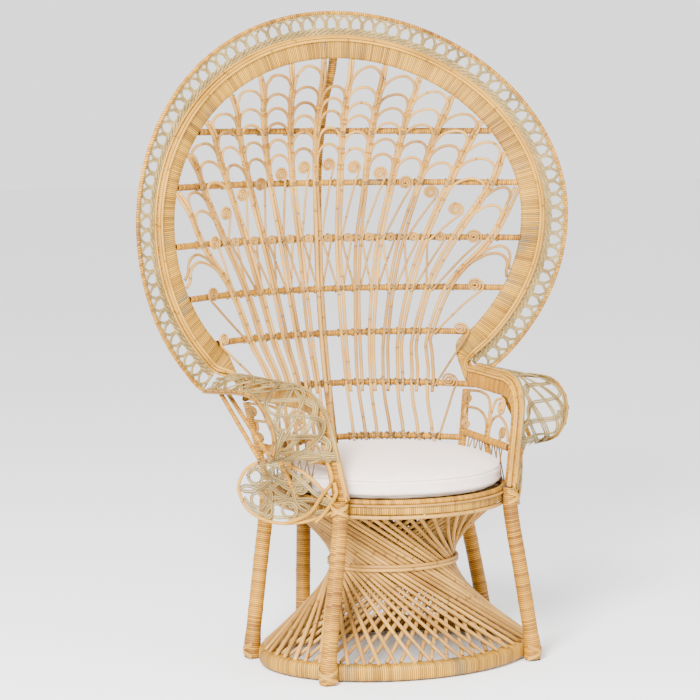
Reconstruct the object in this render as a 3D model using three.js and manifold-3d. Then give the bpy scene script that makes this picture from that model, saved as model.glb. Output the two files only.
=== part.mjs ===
import * as THREE from "three";
import { mergeVertices } from "three/addons/utils/BufferGeometryUtils.js";
import Module from "manifold-3d";

const wasm = await Module();
wasm.setup();

// A high backed rattan armchair with a fan shaped back, an oval seat and an hourglass base.
// Millimetres, Z up, the chair faces minus Y and X runs to the right seen from the front.

// Fan back, seen from the front
const fanHalfWidth = 509;
const fanCentreZ = 1005;
const fanRise = 431;
const fanDrop = 468;
const fanEndAngle = THREE.MathUtils.degToRad(138);
const bandWidth = 51;
const bandThickness = 15;
const laceWidth = 62;
const laceThickness = 4;
const rimRodDiameter = 9;
const pipingDiameter = 6;

// How far the back hollows and bows, seen from above
const backTopY = 310;
const fanBow = 109;
const dishDepth = 95;
const dishCentreZ = 1060;
const dishRise = 330;
const dishDrop = 600;
const dishSettle = 60;
const seatBow = 144;
const wrapTopZ = 700;
const postTuck = 8;
const elbowTuck = 6;

// Rails, post and stems that fill the fan
const railDiameter = 15;
const railLowZ = 472;
const railTopZ = 1212;
const railShares = [0, 0.173, 0.335, 0.481, 0.647, 0.83, 1];
const wrapLowShare = railShares[1];
const postDiameter = 20;
const fillGap = 2.2;
const stemsPerSide = 7;
const stemDepth = 10;
const stemTopWidth = 10;
const stemFootWidth = 17;
const stemTopFirstAngle = THREE.MathUtils.degToRad(4.6);
const stemTopStepAngle = THREE.MathUtils.degToRad(10.9);
const stemTopSpreadAngle = THREE.MathUtils.degToRad(0.26);
const stemSettle = 10;
const stemTopShare = 1.12;
const laneOverrun = 4;
const laneSpreadFrom = 4;
const patternShift = 12;

// Pitch, offset and spread of the stems' lanes at five of the rails, as shares of the widest pitch
const laneShares = [
  [0, 0.4545, 0.197, 0],
  [1, 0.4697, 0.197, 0],
  [3, 0.6667, 0.0909, 0],
  [4, 0.8182, 0, 0.0909],
  [5, 1, 0, 0.1667],
];

// Arches and scrolls between the stems, column by column from the middle out, as shares of the
// rise from the fan's centre to the band's inner edge
const archRodDiameter = 6.6;
const archRise = 40;
const archSteps = 4;
const scrollRadius = 17;
const scrollPitch = 9;
const scrollTurns = 1.125;
const scrollTurnSteps = 7;
const archTopShares = [
  [0.861, 0.779, 0.697, 0.589, 0.482],
  [0.976, 0.855, 0.75, 0.666, 0.561, 0.453],
  [0.929, 0.808, 0.713, 0.618, 0.511, 0.413],
  [0.842, 0.711, 0.605, 0.495, 0.389],
  [0.697, 0.568, 0.468, 0.355],
  [0.495, 0.384, 0.25],
  [0.195, 0.076],
  [-0.189, -0.237],
];
const scrollShares = [0.334, 0.316, 0.276, 0.213, 0.15, 0.039, -0.139, -0.455];

// Seat
const seatHalfWidth = 273;
const seatHalfDepth = 255;
const seatCentreY = 32;
const seatTopZ = 405;
const seatRodDiameter = 13;
const apronHeight = 22;
const apronDepth = 43;
const lowerRodDiameter = 9;
const deckThickness = 10;
const deckHoleRows = 5;
const deckHoleColumns = 4;
const deckStrap = 26;
const cushionGap = 6;
const cushionThickness = 46;
const cushionCrown = 24;
const cushionDrawIn = 7;
const cushionEdgeRadius = 9;

// Base
const baseHalfWidth = 332;
const baseHalfDepth = 248;
const baseRingHeight = 36;
const baseRingDepth = 38;
const baseRingLift = 3;
const legDiameter = 36;
const legFootDiameter = 40;
const ringSteps = 52;
const frontLegStep = -6;
const sideLegStep = 4;
const backLegStep = 10;
const legSides = 10;
const skirtRods = 38;
const skirtRodDiameter = 8.8;
const waistHalfWidth = 147;
const waistHalfDepth = 112;
const shoulderHalfWidth = 182;
const shoulderHalfDepth = 152;
const skirtFootInset = 11;
const skirtHeadInset = 16;
const skirtLayerGap = 20;
const waistShare = 0.57;
const waistRodDiameter = 8;
const waistGap = 1.2;
const tieRodDiameter = 3;

// Arms
const armTopX = 276;
const armToeShare = 0.13;
const armLeanShare = 0.17;
const armTopZ = 642;
const armElbowY = 185;
const armCornerY = -45;
const armFrontY = -150;
const armFootOverhang = 2;
const armCornerDrop = 97;
const armBandWidth = 45;
const armRailDiameter = 18;
const armRailZ = 487;
const armRailGap = 1.9;
const backPostWidth = 24;
const backPostThickness = 15;
const wingReach = 125;
const wingLowZ = 485;
const panelThickness = 5;
const wingRimDiameter = 9;
const wingEndShare = 0.06;
const wingRimShares = [
  [0.86, 0.72, -0.12],
  [0.87, 0.32, -0.08],
  [0.88, -0.48, -0.1],
  [0.86, -0.92, -0.34],
  [0.79, -1.1, -0.69],
  [0.72, -0.88, -1.06],
  [0.66, -0.16, -1.29],
];
const lobeReach = 250;
const lobeHeight = 145;
const lobeOutwardAngle = THREE.MathUtils.degToRad(36);
const lobeTopShares = [[0, 0.44], [0.3, 0.84], [0.62, 0.99], [0.86, 0.86], [0.97, 0.6]];
const lobeLowShares = [[0, 0.24], [0.3, 0.05], [0.62, 0], [0.86, 0.14], [0.97, 0.42]];

// Gap left between pieces that touch
const clearance = 0.3;

// Places that follow from the dimensions above
const laneTopPitch = (fanHalfWidth - bandWidth + laneOverrun) / stemsPerSide;
const stemForward = railDiameter / 2 + stemDepth / 2 + fillGap;
const cushionHalfWidth = seatHalfWidth - seatRodDiameter - cushionGap;
const cushionHalfDepth = seatHalfDepth - seatRodDiameter - cushionGap;

// Finishes of the real pieces
const wrappedCane = new THREE.MeshStandardMaterial({ color: 0xdcb176, roughness: 0.6, metalness: 0 });
const bareRod = new THREE.MeshStandardMaterial({ color: 0xe2bf95, roughness: 0.55, metalness: 0 });
const flatCane = new THREE.MeshStandardMaterial({ color: 0xc9bd95, roughness: 0.65, metalness: 0 });
const cottonCloth = new THREE.MeshStandardMaterial({ color: 0xece4e1, roughness: 0.9, metalness: 0 });

const chair = new THREE.Group();
const up = new THREE.Vector3(0, 0, 1);

// Signed volume of a closed indexed geometry
function volumeOf(geometry) {
  const position = geometry.getAttribute("position");
  const index = geometry.getIndex();
  const a = new THREE.Vector3();
  const b = new THREE.Vector3();
  const c = new THREE.Vector3();
  let total = 0;
  for (let i = 0; i < index.count; i += 3) {
    a.fromBufferAttribute(position, index.getX(i));
    b.fromBufferAttribute(position, index.getX(i + 1));
    c.fromBufferAttribute(position, index.getX(i + 2));
    total += a.dot(b.cross(c));
  }
  return total;
}

// Turns the faces of a closed geometry outward
function faceOutward(geometry) {
  if (volumeOf(geometry) < 0) {
    const index = geometry.getIndex();
    for (let i = 0; i < index.count; i += 3) {
      const first = index.getX(i);
      index.setX(i, index.getX(i + 1));
      index.setX(i + 1, first);
    }
  }
  return geometry;
}

// Skins a row of closed sections into one solid, with flat ends unless the row closes on itself
function skin(sections, closed = false) {
  const sides = sections[0].length;
  const points = sections.flat();
  const faces = [];
  const spans = closed ? sections.length : sections.length - 1;
  for (let i = 0; i < spans; i++) {
    const here = i * sides;
    const next = ((i + 1) % sections.length) * sides;
    for (let j = 0; j < sides; j++) {
      const k = (j + 1) % sides;
      faces.push(here + j, here + k, next + k, here + j, next + k, next + j);
    }
  }
  if (!closed) {
    const last = (sections.length - 1) * sides;
    for (let j = 1; j < sides - 1; j++) {
      faces.push(0, j + 1, j, last, last + j, last + j + 1);
    }
  }
  const geometry = new THREE.BufferGeometry().setFromPoints(points);
  geometry.setIndex(faces);
  return faceOutward(geometry);
}

// One section of a round or oval rod, drawn round a point on two directions
function ovalSection(centre, acrossDirection, deepDirection, acrossRadius, deepRadius, sides) {
  const section = [];
  for (let j = 0; j < sides; j++) {
    const turn = (2 * Math.PI * (j + 0.5)) / sides;
    const point = centre.clone();
    point.addScaledVector(acrossDirection, acrossRadius * Math.cos(turn));
    point.addScaledVector(deepDirection, deepRadius * Math.sin(turn));
    section.push(point);
  }
  return section;
}

// A round rod along a curve
function rod(curve, radius, steps, sides) {
  const frames = curve.computeFrenetFrames(steps, false);
  const sections = [];
  for (let i = 0; i <= steps; i++) {
    const centre = curve.getPointAt(i / steps);
    sections.push(ovalSection(centre, frames.normals[i], frames.binormals[i], radius, radius, sides));
  }
  return skin(sections);
}

// A straight rod between two points, tapered where the radii differ
function straightRod(from, to, fromRadius, toRadius, sides) {
  const along = to.clone().sub(from).normalize();
  const helper = Math.abs(along.z) < 0.9 ? up : new THREE.Vector3(1, 0, 0);
  const across = helper.clone().cross(along).normalize();
  const deep = along.clone().cross(across);
  const sections = [
    ovalSection(from, across, deep, fromRadius, fromRadius, sides),
    ovalSection(to, across, deep, toRadius, toRadius, sides),
  ];
  return skin(sections);
}

// Point on an oval, moved in or out square to its line
function ovalPoint(halfWidth, halfDepth, centreY, z, angle, outset) {
  const normal = new THREE.Vector3(Math.cos(angle) / halfWidth, Math.sin(angle) / halfDepth, 0);
  normal.normalize();
  const point = new THREE.Vector3(halfWidth * Math.cos(angle), centreY + halfDepth * Math.sin(angle), z);
  return point.addScaledVector(normal, outset);
}

// A closed oval hoop whose section is given as pairs of outset and height
function ovalHoop(halfWidth, halfDepth, centreY, section, steps) {
  const sections = [];
  for (let i = 0; i < steps; i++) {
    const angle = (2 * Math.PI * i) / steps;
    sections.push(section.map(([outset, z]) => ovalPoint(halfWidth, halfDepth, centreY, z, angle, outset)));
  }
  return skin(sections, true);
}

// Section of a square bar, between two outsets and two heights
function boxSection(outsetFrom, outsetTo, zFrom, zTo) {
  return [[outsetTo, zFrom], [outsetTo, zTo], [outsetFrom, zTo], [outsetFrom, zFrom]];
}

// Section of a bar with a rounded outer side
function bulgedSection(outsetFrom, outsetTo, zFrom, zTo, bulge) {
  const rise = zTo - zFrom;
  return [
    [outsetTo - bulge, zFrom],
    [outsetTo, zFrom + rise / 2],
    [outsetTo - bulge, zTo],
    [outsetFrom, zTo],
    [outsetFrom, zFrom],
  ];
}

// Section of a round hoop as pairs of outset and height, a corner outermost
function roundSection(outset, z, radius, sides) {
  const section = [];
  for (let j = 0; j < sides; j++) {
    const turn = (2 * Math.PI * j) / sides;
    section.push([outset + radius * Math.cos(turn), z + radius * Math.sin(turn)]);
  }
  return section;
}

function toManifold(geometry) {
  const numProp = geometry.getAttribute("position").itemSize;
  const vertProperties = new Float32Array(geometry.getAttribute("position").array);
  const triVerts = new Uint32Array(geometry.getIndex().array);
  return new wasm.Manifold(new wasm.Mesh({ numProp, vertProperties, triVerts }));
}

function fromManifold(solid) {
  const mesh = solid.getMesh();
  const geometry = new THREE.BufferGeometry();
  geometry.setAttribute("position", new THREE.BufferAttribute(mesh.vertProperties, mesh.numProp));
  geometry.setIndex(new THREE.BufferAttribute(mesh.triVerts, 1));
  return geometry;
}

// Joins solids that run into each other into one body
function fuse(geometries) {
  let whole = toManifold(geometries[0]);
  for (const geometry of geometries.slice(1)) {
    whole = whole.add(toManifold(geometry));
  }
  return fromManifold(whole);
}

// Shares the corner points of a made up geometry so that it is one closed surface
function welded(geometry) {
  geometry.deleteAttribute("normal");
  geometry.deleteAttribute("uv");
  return mergeVertices(geometry);
}

// A panel of square cells with one four cornered opening in each, bent by place(x, y, lift)
function latticePanel(columns, rows, opening, thickness, place) {
  const points = [];
  const faces = [];
  const pairAt = (x, y) => [thickness / 2, -thickness / 2].map((lift) => points.push(place(x, y, lift)) - 1);
  const nodes = [];
  for (let j = 0; j <= rows; j++) {
    for (let i = 0; i <= columns; i++) {
      nodes.push(pairAt(i, j));
    }
  }
  const node = (i, j) => nodes[j * (columns + 1) + i];
  for (let j = 0; j < rows; j++) {
    for (let i = 0; i < columns; i++) {
      const corners = [node(i, j), node(i + 1, j), node(i + 1, j + 1), node(i, j + 1)];
      const hole = opening.map(([x, y]) => pairAt(i + x, j + y));
      const isEdge = [j === 0, i === columns - 1, j === rows - 1, i === 0];
      for (let k = 0; k < corners.length; k++) {
        const n = (k + 1) % corners.length;
        const [c, cBack] = corners[k];
        const [d, dBack] = corners[n];
        const [h, hBack] = hole[k];
        const [g, gBack] = hole[n];
        faces.push(c, d, h, h, d, g, cBack, hBack, dBack, hBack, gBack, dBack, h, g, gBack, h, gBack, hBack);
        if (isEdge[k]) {
          faces.push(d, c, cBack, d, cBack, dBack);
        }
      }
    }
  }
  const geometry = new THREE.BufferGeometry().setFromPoints(points);
  geometry.setIndex(faces);
  return faceOutward(geometry);
}

function addPiece(name, geometry, material) {
  geometry.computeVertexNormals();
  const mesh = new THREE.Mesh(geometry, material);
  mesh.name = name;
  chair.add(mesh);
}

// Mirrors a piece to the other side of the chair
function mirrored(geometry) {
  const copy = geometry.clone();
  copy.scale(-1, 1, 1);
  return faceOutward(copy);
}

function addPair(name, geometry, material) {
  addPiece(`${name}_right`, geometry, material);
  addPiece(`${name}_left`, mirrored(geometry), material);
}

// Point of the fan's outline in the front view, at an angle from the top and moved in or out
function fanOutline(angle, outset) {
  const reach = Math.cos(angle) > 0 ? fanRise : fanDrop;
  const x = (fanHalfWidth + outset) * Math.sin(angle);
  const z = fanCentreZ + (reach + outset) * Math.cos(angle);
  return [x, z];
}

// Depth of the fan's rim, which bows forward at the sides
function rimY(x) {
  return backTopY - fanBow * (x / fanHalfWidth) ** 2;
}

// How far a point of the front view lies inside the band's inner edge, endless below the elbows
function depthInsideBand(x, z) {
  const halfWidth = fanHalfWidth - bandWidth;
  const reach = (z > fanCentreZ ? fanRise : fanDrop) - bandWidth;
  const rise = (z - fanCentreZ) / reach;
  if (z > fanCentreZ) {
    return (1 - Math.hypot(x / halfWidth, rise)) * reach;
  }
  if (z < fanCentreZ + fanDrop * Math.cos(fanEndAngle)) {
    return Infinity;
  }
  return halfWidth * Math.sqrt(1 - rise ** 2) - Math.abs(x);
}

// Depth of the hollowed filling, which wraps round the seat below the elbows
function backY(x, z) {
  const reach = z > dishCentreZ ? dishRise : dishDrop;
  const hollow = dishDepth * Math.max(0, 1 - ((z - dishCentreZ) / reach) ** 2);
  const edgeFade = Math.sqrt(THREE.MathUtils.clamp(depthInsideBand(x, z) / dishSettle, 0, 1));
  const dish = (hollow - dishDepth * (x / (fanHalfWidth - bandWidth)) ** 2) * edgeFade;
  const upper = dish - fanBow * (x / fanHalfWidth) ** 2;
  const lower = hollow - seatBow * (x / armTopX) ** 2;
  const blend = THREE.MathUtils.smoothstep(z, railZ(wrapLowShare), wrapTopZ);
  return backTopY + THREE.MathUtils.lerp(lower, upper, blend);
}

function railZ(share) {
  return railLowZ + share * (railTopZ - railLowZ);
}

// Point on the filling, standing square off it by an amount that fades out near the band
function onBack(x, z, forward) {
  const step = railDiameter / 2;
  const slopeX = (backY(x + step, z) - backY(x - step, z)) / (2 * step);
  const slopeZ = (backY(x, z + step) - backY(x, z - step)) / (2 * step);
  const square = new THREE.Vector3(slopeX, -1, slopeZ).normalize();
  const nearBand = forward > 0 && z > railZ(railShares[3]);
  const fade = nearBand ? THREE.MathUtils.clamp(depthInsideBand(x, z) / stemSettle, 0, 1) : 1;
  return new THREE.Vector3(x, backY(x, z), z).addScaledVector(square, forward * fade);
}

// Solid ring over the band, used to trim what runs up to the band's inner edge
function bandCutter() {
  const nearY = backTopY - fanBow - dishDepth;
  const farY = backTopY + dishDepth * 2;
  const steps = fanSteps;
  const sections = [];
  for (let i = 0; i <= steps; i++) {
    const angle = THREE.MathUtils.lerp(-fanEndAngle, fanEndAngle, i / steps);
    const [innerX, innerZ] = fanOutline(angle, -bandWidth - clearance);
    const [outerX, outerZ] = fanOutline(angle, laceWidth);
    sections.push([
      new THREE.Vector3(innerX, nearY, innerZ),
      new THREE.Vector3(innerX, farY, innerZ),
      new THREE.Vector3(outerX, farY, outerZ),
      new THREE.Vector3(outerX, nearY, outerZ),
    ]);
  }
  return toManifold(skin(sections));
}

function trimmedToBand(geometry) {
  return fromManifold(toManifold(geometry).subtract(bandCutter()));
}

// Side plane of the arm, which leans out at the top and toes out at the back
function armX(y, z) {
  return armTopX + armToeShare * y - armLeanShare * (armTopZ - z);
}

function armPoint(y, z) {
  return new THREE.Vector3(armX(y, z), y, z);
}

// Outer line of the arm's front post
function armFrontLineY(z) {
  const cornerZ = armTopZ - armCornerDrop;
  const footY = legHead(frontLegStep).y - legDiameter / 2 - armFootOverhang;
  return THREE.MathUtils.mapLinear(z, cornerZ, seatTopZ, armFrontY, footY);
}

// Edge of one arm's band from the elbow to the seat, set in from the outer line
function armEdge(inset) {
  const points = [];
  const topZ = armTopZ - inset;
  const topSteps = 5;
  for (let i = 0; i <= topSteps; i++) {
    const y = THREE.MathUtils.lerp(armElbowY, armCornerY, i / topSteps);
    points.push(armPoint(y, topZ));
  }
  const cornerSteps = 3;
  const cornerZ = armTopZ - armCornerDrop;
  const reachY = armCornerY - armFrontY - inset;
  const reachZ = armCornerDrop - inset;
  for (let i = 1; i <= cornerSteps; i++) {
    const turn = (Math.PI / 2) * (i / cornerSteps);
    points.push(armPoint(armCornerY - reachY * Math.sin(turn), cornerZ + reachZ * Math.cos(turn)));
  }
  for (const z of [wingLowZ, seatTopZ + clearance]) {
    points.push(armPoint(armFrontLineY(z) + inset, z));
  }
  return points;
}

const fanSteps = 38;
const armCount = armEdge(0).length;

// One edge of the whole band: up the left arm, over the fan and down the right arm
function bandEdge(inset, armInset) {
  const right = armEdge(armInset);
  const left = right.map((point) => new THREE.Vector3(-point.x, point.y, point.z)).reverse();
  const fan = [];
  for (let i = 0; i <= fanSteps; i++) {
    const angle = THREE.MathUtils.lerp(-fanEndAngle, fanEndAngle, i / fanSteps);
    const [x, z] = fanOutline(angle, -inset);
    fan.push(new THREE.Vector3(x, rimY(x), z));
  }
  return new THREE.CatmullRomCurve3([...left, ...fan, ...right], false, "centripetal");
}

const outerEdge = bandEdge(0, 0);
const innerEdge = bandEdge(bandWidth, armBandWidth);
const lastStation = outerEdge.points.length - 1;

// Frame of the band at a station: its two edges, its across direction and its face direction,
// level at the two feet so that they stand flat
function bandStation(station) {
  const share = station / lastStation;
  const outer = outerEdge.getPoint(share);
  const inner = innerEdge.getPoint(share);
  const across = outer.clone().sub(inner).normalize();
  const tangent = outerEdge.getTangent(share).add(innerEdge.getTangent(share)).normalize();
  const face = tangent.cross(across);
  if (station === 0 || station === lastStation) {
    face.z = 0;
  }
  face.normalize();
  return { outer, inner, across, face };
}

// A stretch of the wrapped band between two stations
function bandStretch(from, to, steps) {
  const shoulderShare = 0.13;
  const sections = [];
  for (let i = 0; i <= steps; i++) {
    const { outer, inner, face } = bandStation(THREE.MathUtils.lerp(from, to, i / steps));
    const corner = (share, lift) => inner.clone().lerp(outer, share).addScaledVector(face, lift);
    const half = bandThickness / 2;
    sections.push([
      corner(0, 0),
      corner(shoulderShare, half),
      corner(1 - shoulderShare, half),
      corner(1, 0),
      corner(1 - shoulderShare, -half),
      corner(shoulderShare, -half),
    ]);
  }
  return skin(sections);
}

// A thin rod that follows the band, moved out past its edge and forward of its face
function pipingRod(outset, lift) {
  const radius = pipingDiameter / 2;
  const sides = 3;
  const sections = [];
  for (let i = 0; i <= lastStation; i++) {
    const { outer, across, face } = bandStation(i);
    const centre = outer.clone().addScaledVector(across, outset).addScaledVector(face, lift);
    sections.push(ovalSection(centre, across, face, radius, radius, sides));
  }
  return skin(sections);
}

function addBand() {
  const firstFan = armCount;
  const lastFan = armCount + fanSteps;
  const stationLength = outerEdge.points[armCount].distanceTo(outerEdge.points[armCount - 1]);
  const gap = clearance / stationLength;
  const armSteps = armCount - 1;
  addPiece("fan_band", bandStretch(firstFan - 1, lastFan + 1, fanSteps + 2), wrappedCane);
  addPiece("arm_band_left", bandStretch(0, firstFan - 1 - 4 * gap, armSteps), wrappedCane);
  addPiece("arm_band_right", bandStretch(lastFan + 1 + 4 * gap, lastStation, armSteps), wrappedCane);
  const radius = pipingDiameter / 2;
  addPiece("piping_edge", pipingRod(radius + clearance, 0), bareRod);
  const faceLift = bandThickness / 2 + radius + clearance;
  addPiece("piping_face", pipingRod(-1.7 * pipingDiameter, faceLift), bareRod);
}

// The looped lace round the fan: a strip of links that follows the band, with an opening in each
function addLace() {
  const inside = (3 * pipingDiameter) / 4 + 2 * clearance;
  const outside = laceWidth - rimRodDiameter - 2 * clearance;
  const perStation = 2;
  const links = perStation * fanSteps;
  const opening = [[0.2, 0.22], [0.8, 0.22], [0.74, 0.82], [0.26, 0.82]];
  const place = (x, y, lift) => {
    const station = armCount + x / perStation;
    const from = Math.min(Math.floor(station), armCount + fanSteps - 1);
    return pointBeside(from, station - from, THREE.MathUtils.lerp(inside, outside, y), lift);
  };
  addPiece("fan_lace", latticePanel(links, 1, opening, laceThickness, place), flatCane);
}

// Point out from the band's edge, on the straight run between one station and the next
function pointBeside(from, share, outset, lift) {
  const ends = [from, from + 1].map((station) => {
    const { outer, across, face } = bandStation(station);
    return outer.addScaledVector(across, outset).addScaledVector(face, lift);
  });
  return ends[0].lerp(ends[1], share);
}

// The rod that closes the lace round its outside
function addRimRod() {
  const sides = 5;
  const radius = rimRodDiameter / 2;
  const sections = [];
  for (let i = 0; i <= fanSteps; i++) {
    const { outer, across, face } = bandStation(armCount + i);
    const centre = outer.addScaledVector(across, laceWidth - radius);
    sections.push(ovalSection(centre, across, face, radius, radius, sides));
  }
  addPiece("fan_rim", skin(sections), wrappedCane);
}

// Half the width between the band's inner edges at a height
function bandInnerX(z) {
  const reach = (z > fanCentreZ ? fanRise : fanDrop) - bandWidth;
  return (fanHalfWidth - bandWidth) * Math.sqrt(1 - ((z - fanCentreZ) / reach) ** 2);
}

// Half length of a rail, which runs to the back posts or, above the elbows, into the band
function railHalfLength(z) {
  if (z <= railZ(wrapLowShare)) {
    return backPostX(z) - (z > armRailZ ? elbowTuck : postTuck);
  }
  return bandInnerX(z) + railDiameter;
}

function addRails() {
  const steps = 12;
  const sides = 5;
  railShares.forEach((share, i) => {
    const z = railZ(share);
    const half = railHalfLength(z);
    const points = [];
    for (let j = 0; j <= steps; j++) {
      const x = THREE.MathUtils.lerp(-half, half, j / steps);
      points.push(onBack(x, z, 0));
    }
    const curve = new THREE.CatmullRomCurve3(points);
    const rail = rod(curve, railDiameter / 2, steps, sides);
    addPiece(`back_rail_${i + 1}`, trimmedToBand(rail), wrappedCane);
  });
}

// The middle post stands behind the rails and the band, and its foot behind the seat's rods
function addCentrePost() {
  const steps = 11;
  const sides = 6;
  const radius = postDiameter / 2;
  const behind = -(railDiameter / 2 + radius + fillGap);
  const footY = seatCentreY + seatHalfDepth + radius + 2 * clearance;
  const topZ = fanCentreZ + fanRise - pipingDiameter;
  const footZ = seatTopZ - seatRodDiameter - apronHeight - lowerRodDiameter;
  const kneeZ = seatTopZ + radius;
  const points = [footZ, kneeZ].map((z) => new THREE.Vector3(0, footY, z));
  for (let i = 0; i <= steps; i++) {
    points.push(onBack(0, THREE.MathUtils.lerp(railLowZ - railDiameter, topZ, i / steps), behind));
  }
  const sections = points.map((point, i) => {
    const across = new THREE.Vector3(1, 0, 0);
    const isEnd = i === 0 || i === points.length - 1;
    const along = isEnd ? up.clone() : points[i + 1].clone().sub(points[i - 1]).normalize();
    return ovalSection(point, across, along.cross(across), radius, radius, sides);
  });
  addPiece("centre_post", skin(sections), wrappedCane);
}

// Heights at which a stem bends: every rail and one level above them
function stemLevels() {
  return [...railShares, stemTopShare].map(railZ);
}

// Course of a stem in the front view, as points at its levels and one inside the band
function stemCourse(lane) {
  const size = Math.abs(lane);
  const spread = Math.max(0, size - laneSpreadFrom) ** 2;
  const step = size - 0.5;
  const topAngle = stemTopFirstAngle + stemTopStepAngle * step + stemTopSpreadAngle * step ** 2;
  const [topX, topZ] = fanOutline(topAngle, -bandWidth + stemTopWidth);
  const levels = laneShares.map(([rail, pitch, offset, fan]) => {
    return [laneTopPitch * (pitch * size + offset + fan * spread), railZ(railShares[rail])];
  });
  const known = levels.filter(([, z]) => z < topZ - railDiameter * 3);
  known.push([topX, topZ]);
  const heights = stemLevels().filter((z) => z < topZ - railDiameter);
  const course = heights.map((z) => [Math.sign(lane) * interpolate(known, z) + patternShift, z]);
  for (const outset of [-bandWidth - clearance, -bandWidth + stemTopWidth]) {
    const [x, z] = fanOutline(topAngle, outset);
    course.push([Math.sign(lane) * x, z]);
  }
  return course;
}

// Straight line interpolation of the first number of each pair by the second
function interpolate(pairs, at) {
  const next = Math.max(1, pairs.findIndex(([, z]) => z >= at));
  const [x0, z0] = pairs[next - 1];
  const [x1, z1] = pairs[next];
  return THREE.MathUtils.mapLinear(at, z0, z1, x0, x1);
}

// Where a lane's stem stands at a height; beyond the outermost stems it is the band's edge
function laneX(lane, z) {
  if (Math.abs(lane) > stemsPerSide) {
    return Math.sign(lane) * bandInnerX(z);
  }
  const course = stemCourse(lane);
  return interpolate(course, Math.min(z, course[course.length - 1][1]));
}

// Foot of a stem, on top of the seat ring
function stemFoot(x) {
  const inset = seatRodDiameter / 2;
  const share = Math.min(0.98, Math.abs(x) / (seatHalfWidth - inset));
  const y = seatCentreY + (seatHalfDepth - inset) * Math.sqrt(1 - share ** 2);
  return new THREE.Vector3(x, y, seatTopZ + clearance);
}

// Direction square to the filling, away from the sitter
function backward(x, z) {
  return onBack(x, z, -railDiameter).sub(onBack(x, z, 0)).normalize();
}

// Sections of a bar through centres, set flat on the filling
function barSections(centres, faces, firstAlong, widths, depth, sides) {
  return centres.map((centre, i) => {
    const before = centres[Math.max(0, i - 1)];
    const after = centres[Math.min(centres.length - 1, i + 1)];
    const along = i === 0 ? firstAlong : after.clone().sub(before).normalize();
    const across = along.clone().cross(faces[i]).normalize();
    const deep = across.clone().cross(along).normalize();
    return ovalSection(centre, across, deep, widths[i] / 2, depth / 2, sides);
  });
}

function stemSolid(lane) {
  const sides = 5;
  const course = stemCourse(lane);
  const centres = course.map(([x, z]) => onBack(x, z, stemForward));
  const faces = course.map(([x, z]) => backward(x, z));
  const [, pitch, offset] = laneShares[0];
  const footX = Math.sign(lane) * laneTopPitch * (pitch * Math.abs(lane) + offset) + patternShift;
  centres.unshift(stemFoot(footX));
  faces.unshift(new THREE.Vector3(0, 1, 0));
  const widths = centres.map((centre, i) => {
    return THREE.MathUtils.lerp(stemFootWidth, stemTopWidth, Math.min(1, (2 * i) / centres.length));
  });
  return skin(barSections(centres, faces, up, widths, stemDepth, sides));
}

// Point in the stems' layer, which runs straight from one level to the next
function inStemLayer(x, z) {
  const levels = stemLevels();
  const next = levels.findIndex((level) => level >= z);
  if (next < 1) {
    return onBack(x, z, stemForward);
  }
  const low = onBack(x, levels[next - 1], stemForward);
  const high = onBack(x, levels[next], stemForward);
  return low.lerp(high, THREE.MathUtils.inverseLerp(levels[next - 1], levels[next], z));
}

// Middle of a lane's stem at a height
function onStem(lane, z) {
  const course = stemCourse(lane);
  const next = Math.max(1, course.findIndex(([, height]) => height >= z));
  const [low, high] = [course[next - 1], course[next]];
  const share = THREE.MathUtils.inverseLerp(low[1], high[1], z);
  return onBack(...low, stemForward).lerp(onBack(...high, stemForward), share);
}

// A thin rod in the stems' layer through points of the front view, one of which lies in a stem
function frontRod(points, lane, stemIndex) {
  const sides = 3;
  const centres = points.map(([x, z]) => inStemLayer(x, z));
  centres[stemIndex] = onStem(lane, points[stemIndex][1]);
  const faces = points.map(([x, z]) => backward(x, z));
  const firstAlong = centres[1].clone().sub(centres[0]).normalize();
  const widths = points.map(() => archRodDiameter);
  return skin(barSections(centres, faces, firstAlong, widths, archRodDiameter, sides));
}

// Height in the front view at a share of the rise to the band's inner edge
function columnZ(share) {
  return fanCentreZ + share * (fanRise - bandWidth);
}

// An arch of a column: out of the stem that carries it, over, and down beside the other stem
function archSolid(column, owner, topZ) {
  const radius = archRodDiameter / 2;
  const beside = stemTopWidth / 2 + radius + 2 * clearance;
  const points = [];
  for (let i = 0; i <= archSteps; i++) {
    const turn = (Math.PI * i) / archSteps;
    const z = topZ - radius - archRise * (1 - Math.sin(turn));
    const left = laneX(column - 0.5, z) + (owner < column ? 0 : beside);
    const right = laneX(column + 0.5, z) - (owner < column ? beside : 0);
    const x = THREE.MathUtils.lerp(left, right, (1 - Math.cos(turn)) / 2);
    const halfWidth = fanHalfWidth - bandWidth;
    const limit = columnZ(Math.sqrt(Math.max(0, 1 - (x / halfWidth) ** 2))) - 2 * radius;
    points.push([x, Math.min(z, limit)]);
  }
  const [end, beyond] = owner < column ? [0, 1] : [archSteps, archSteps - 1];
  points[end][1] = points[beyond][1] - archRodDiameter;
  return frontRod(points, owner, end);
}

// Front view points of a scroll, from its outer end below on one side, up, over and inward
function scrollPoints(x, z, side, radius, turns) {
  const points = [];
  const steps = Math.round(turns * scrollTurnSteps);
  const start = -Math.PI / 5;
  for (let i = 0; i <= steps; i++) {
    const turn = (2 * Math.PI * i) / scrollTurnSteps;
    const reach = radius - (scrollPitch * i) / scrollTurnSteps;
    points.push([x + side * reach * Math.cos(start + turn), z + reach * Math.sin(start + turn)]);
  }
  return points;
}

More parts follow.
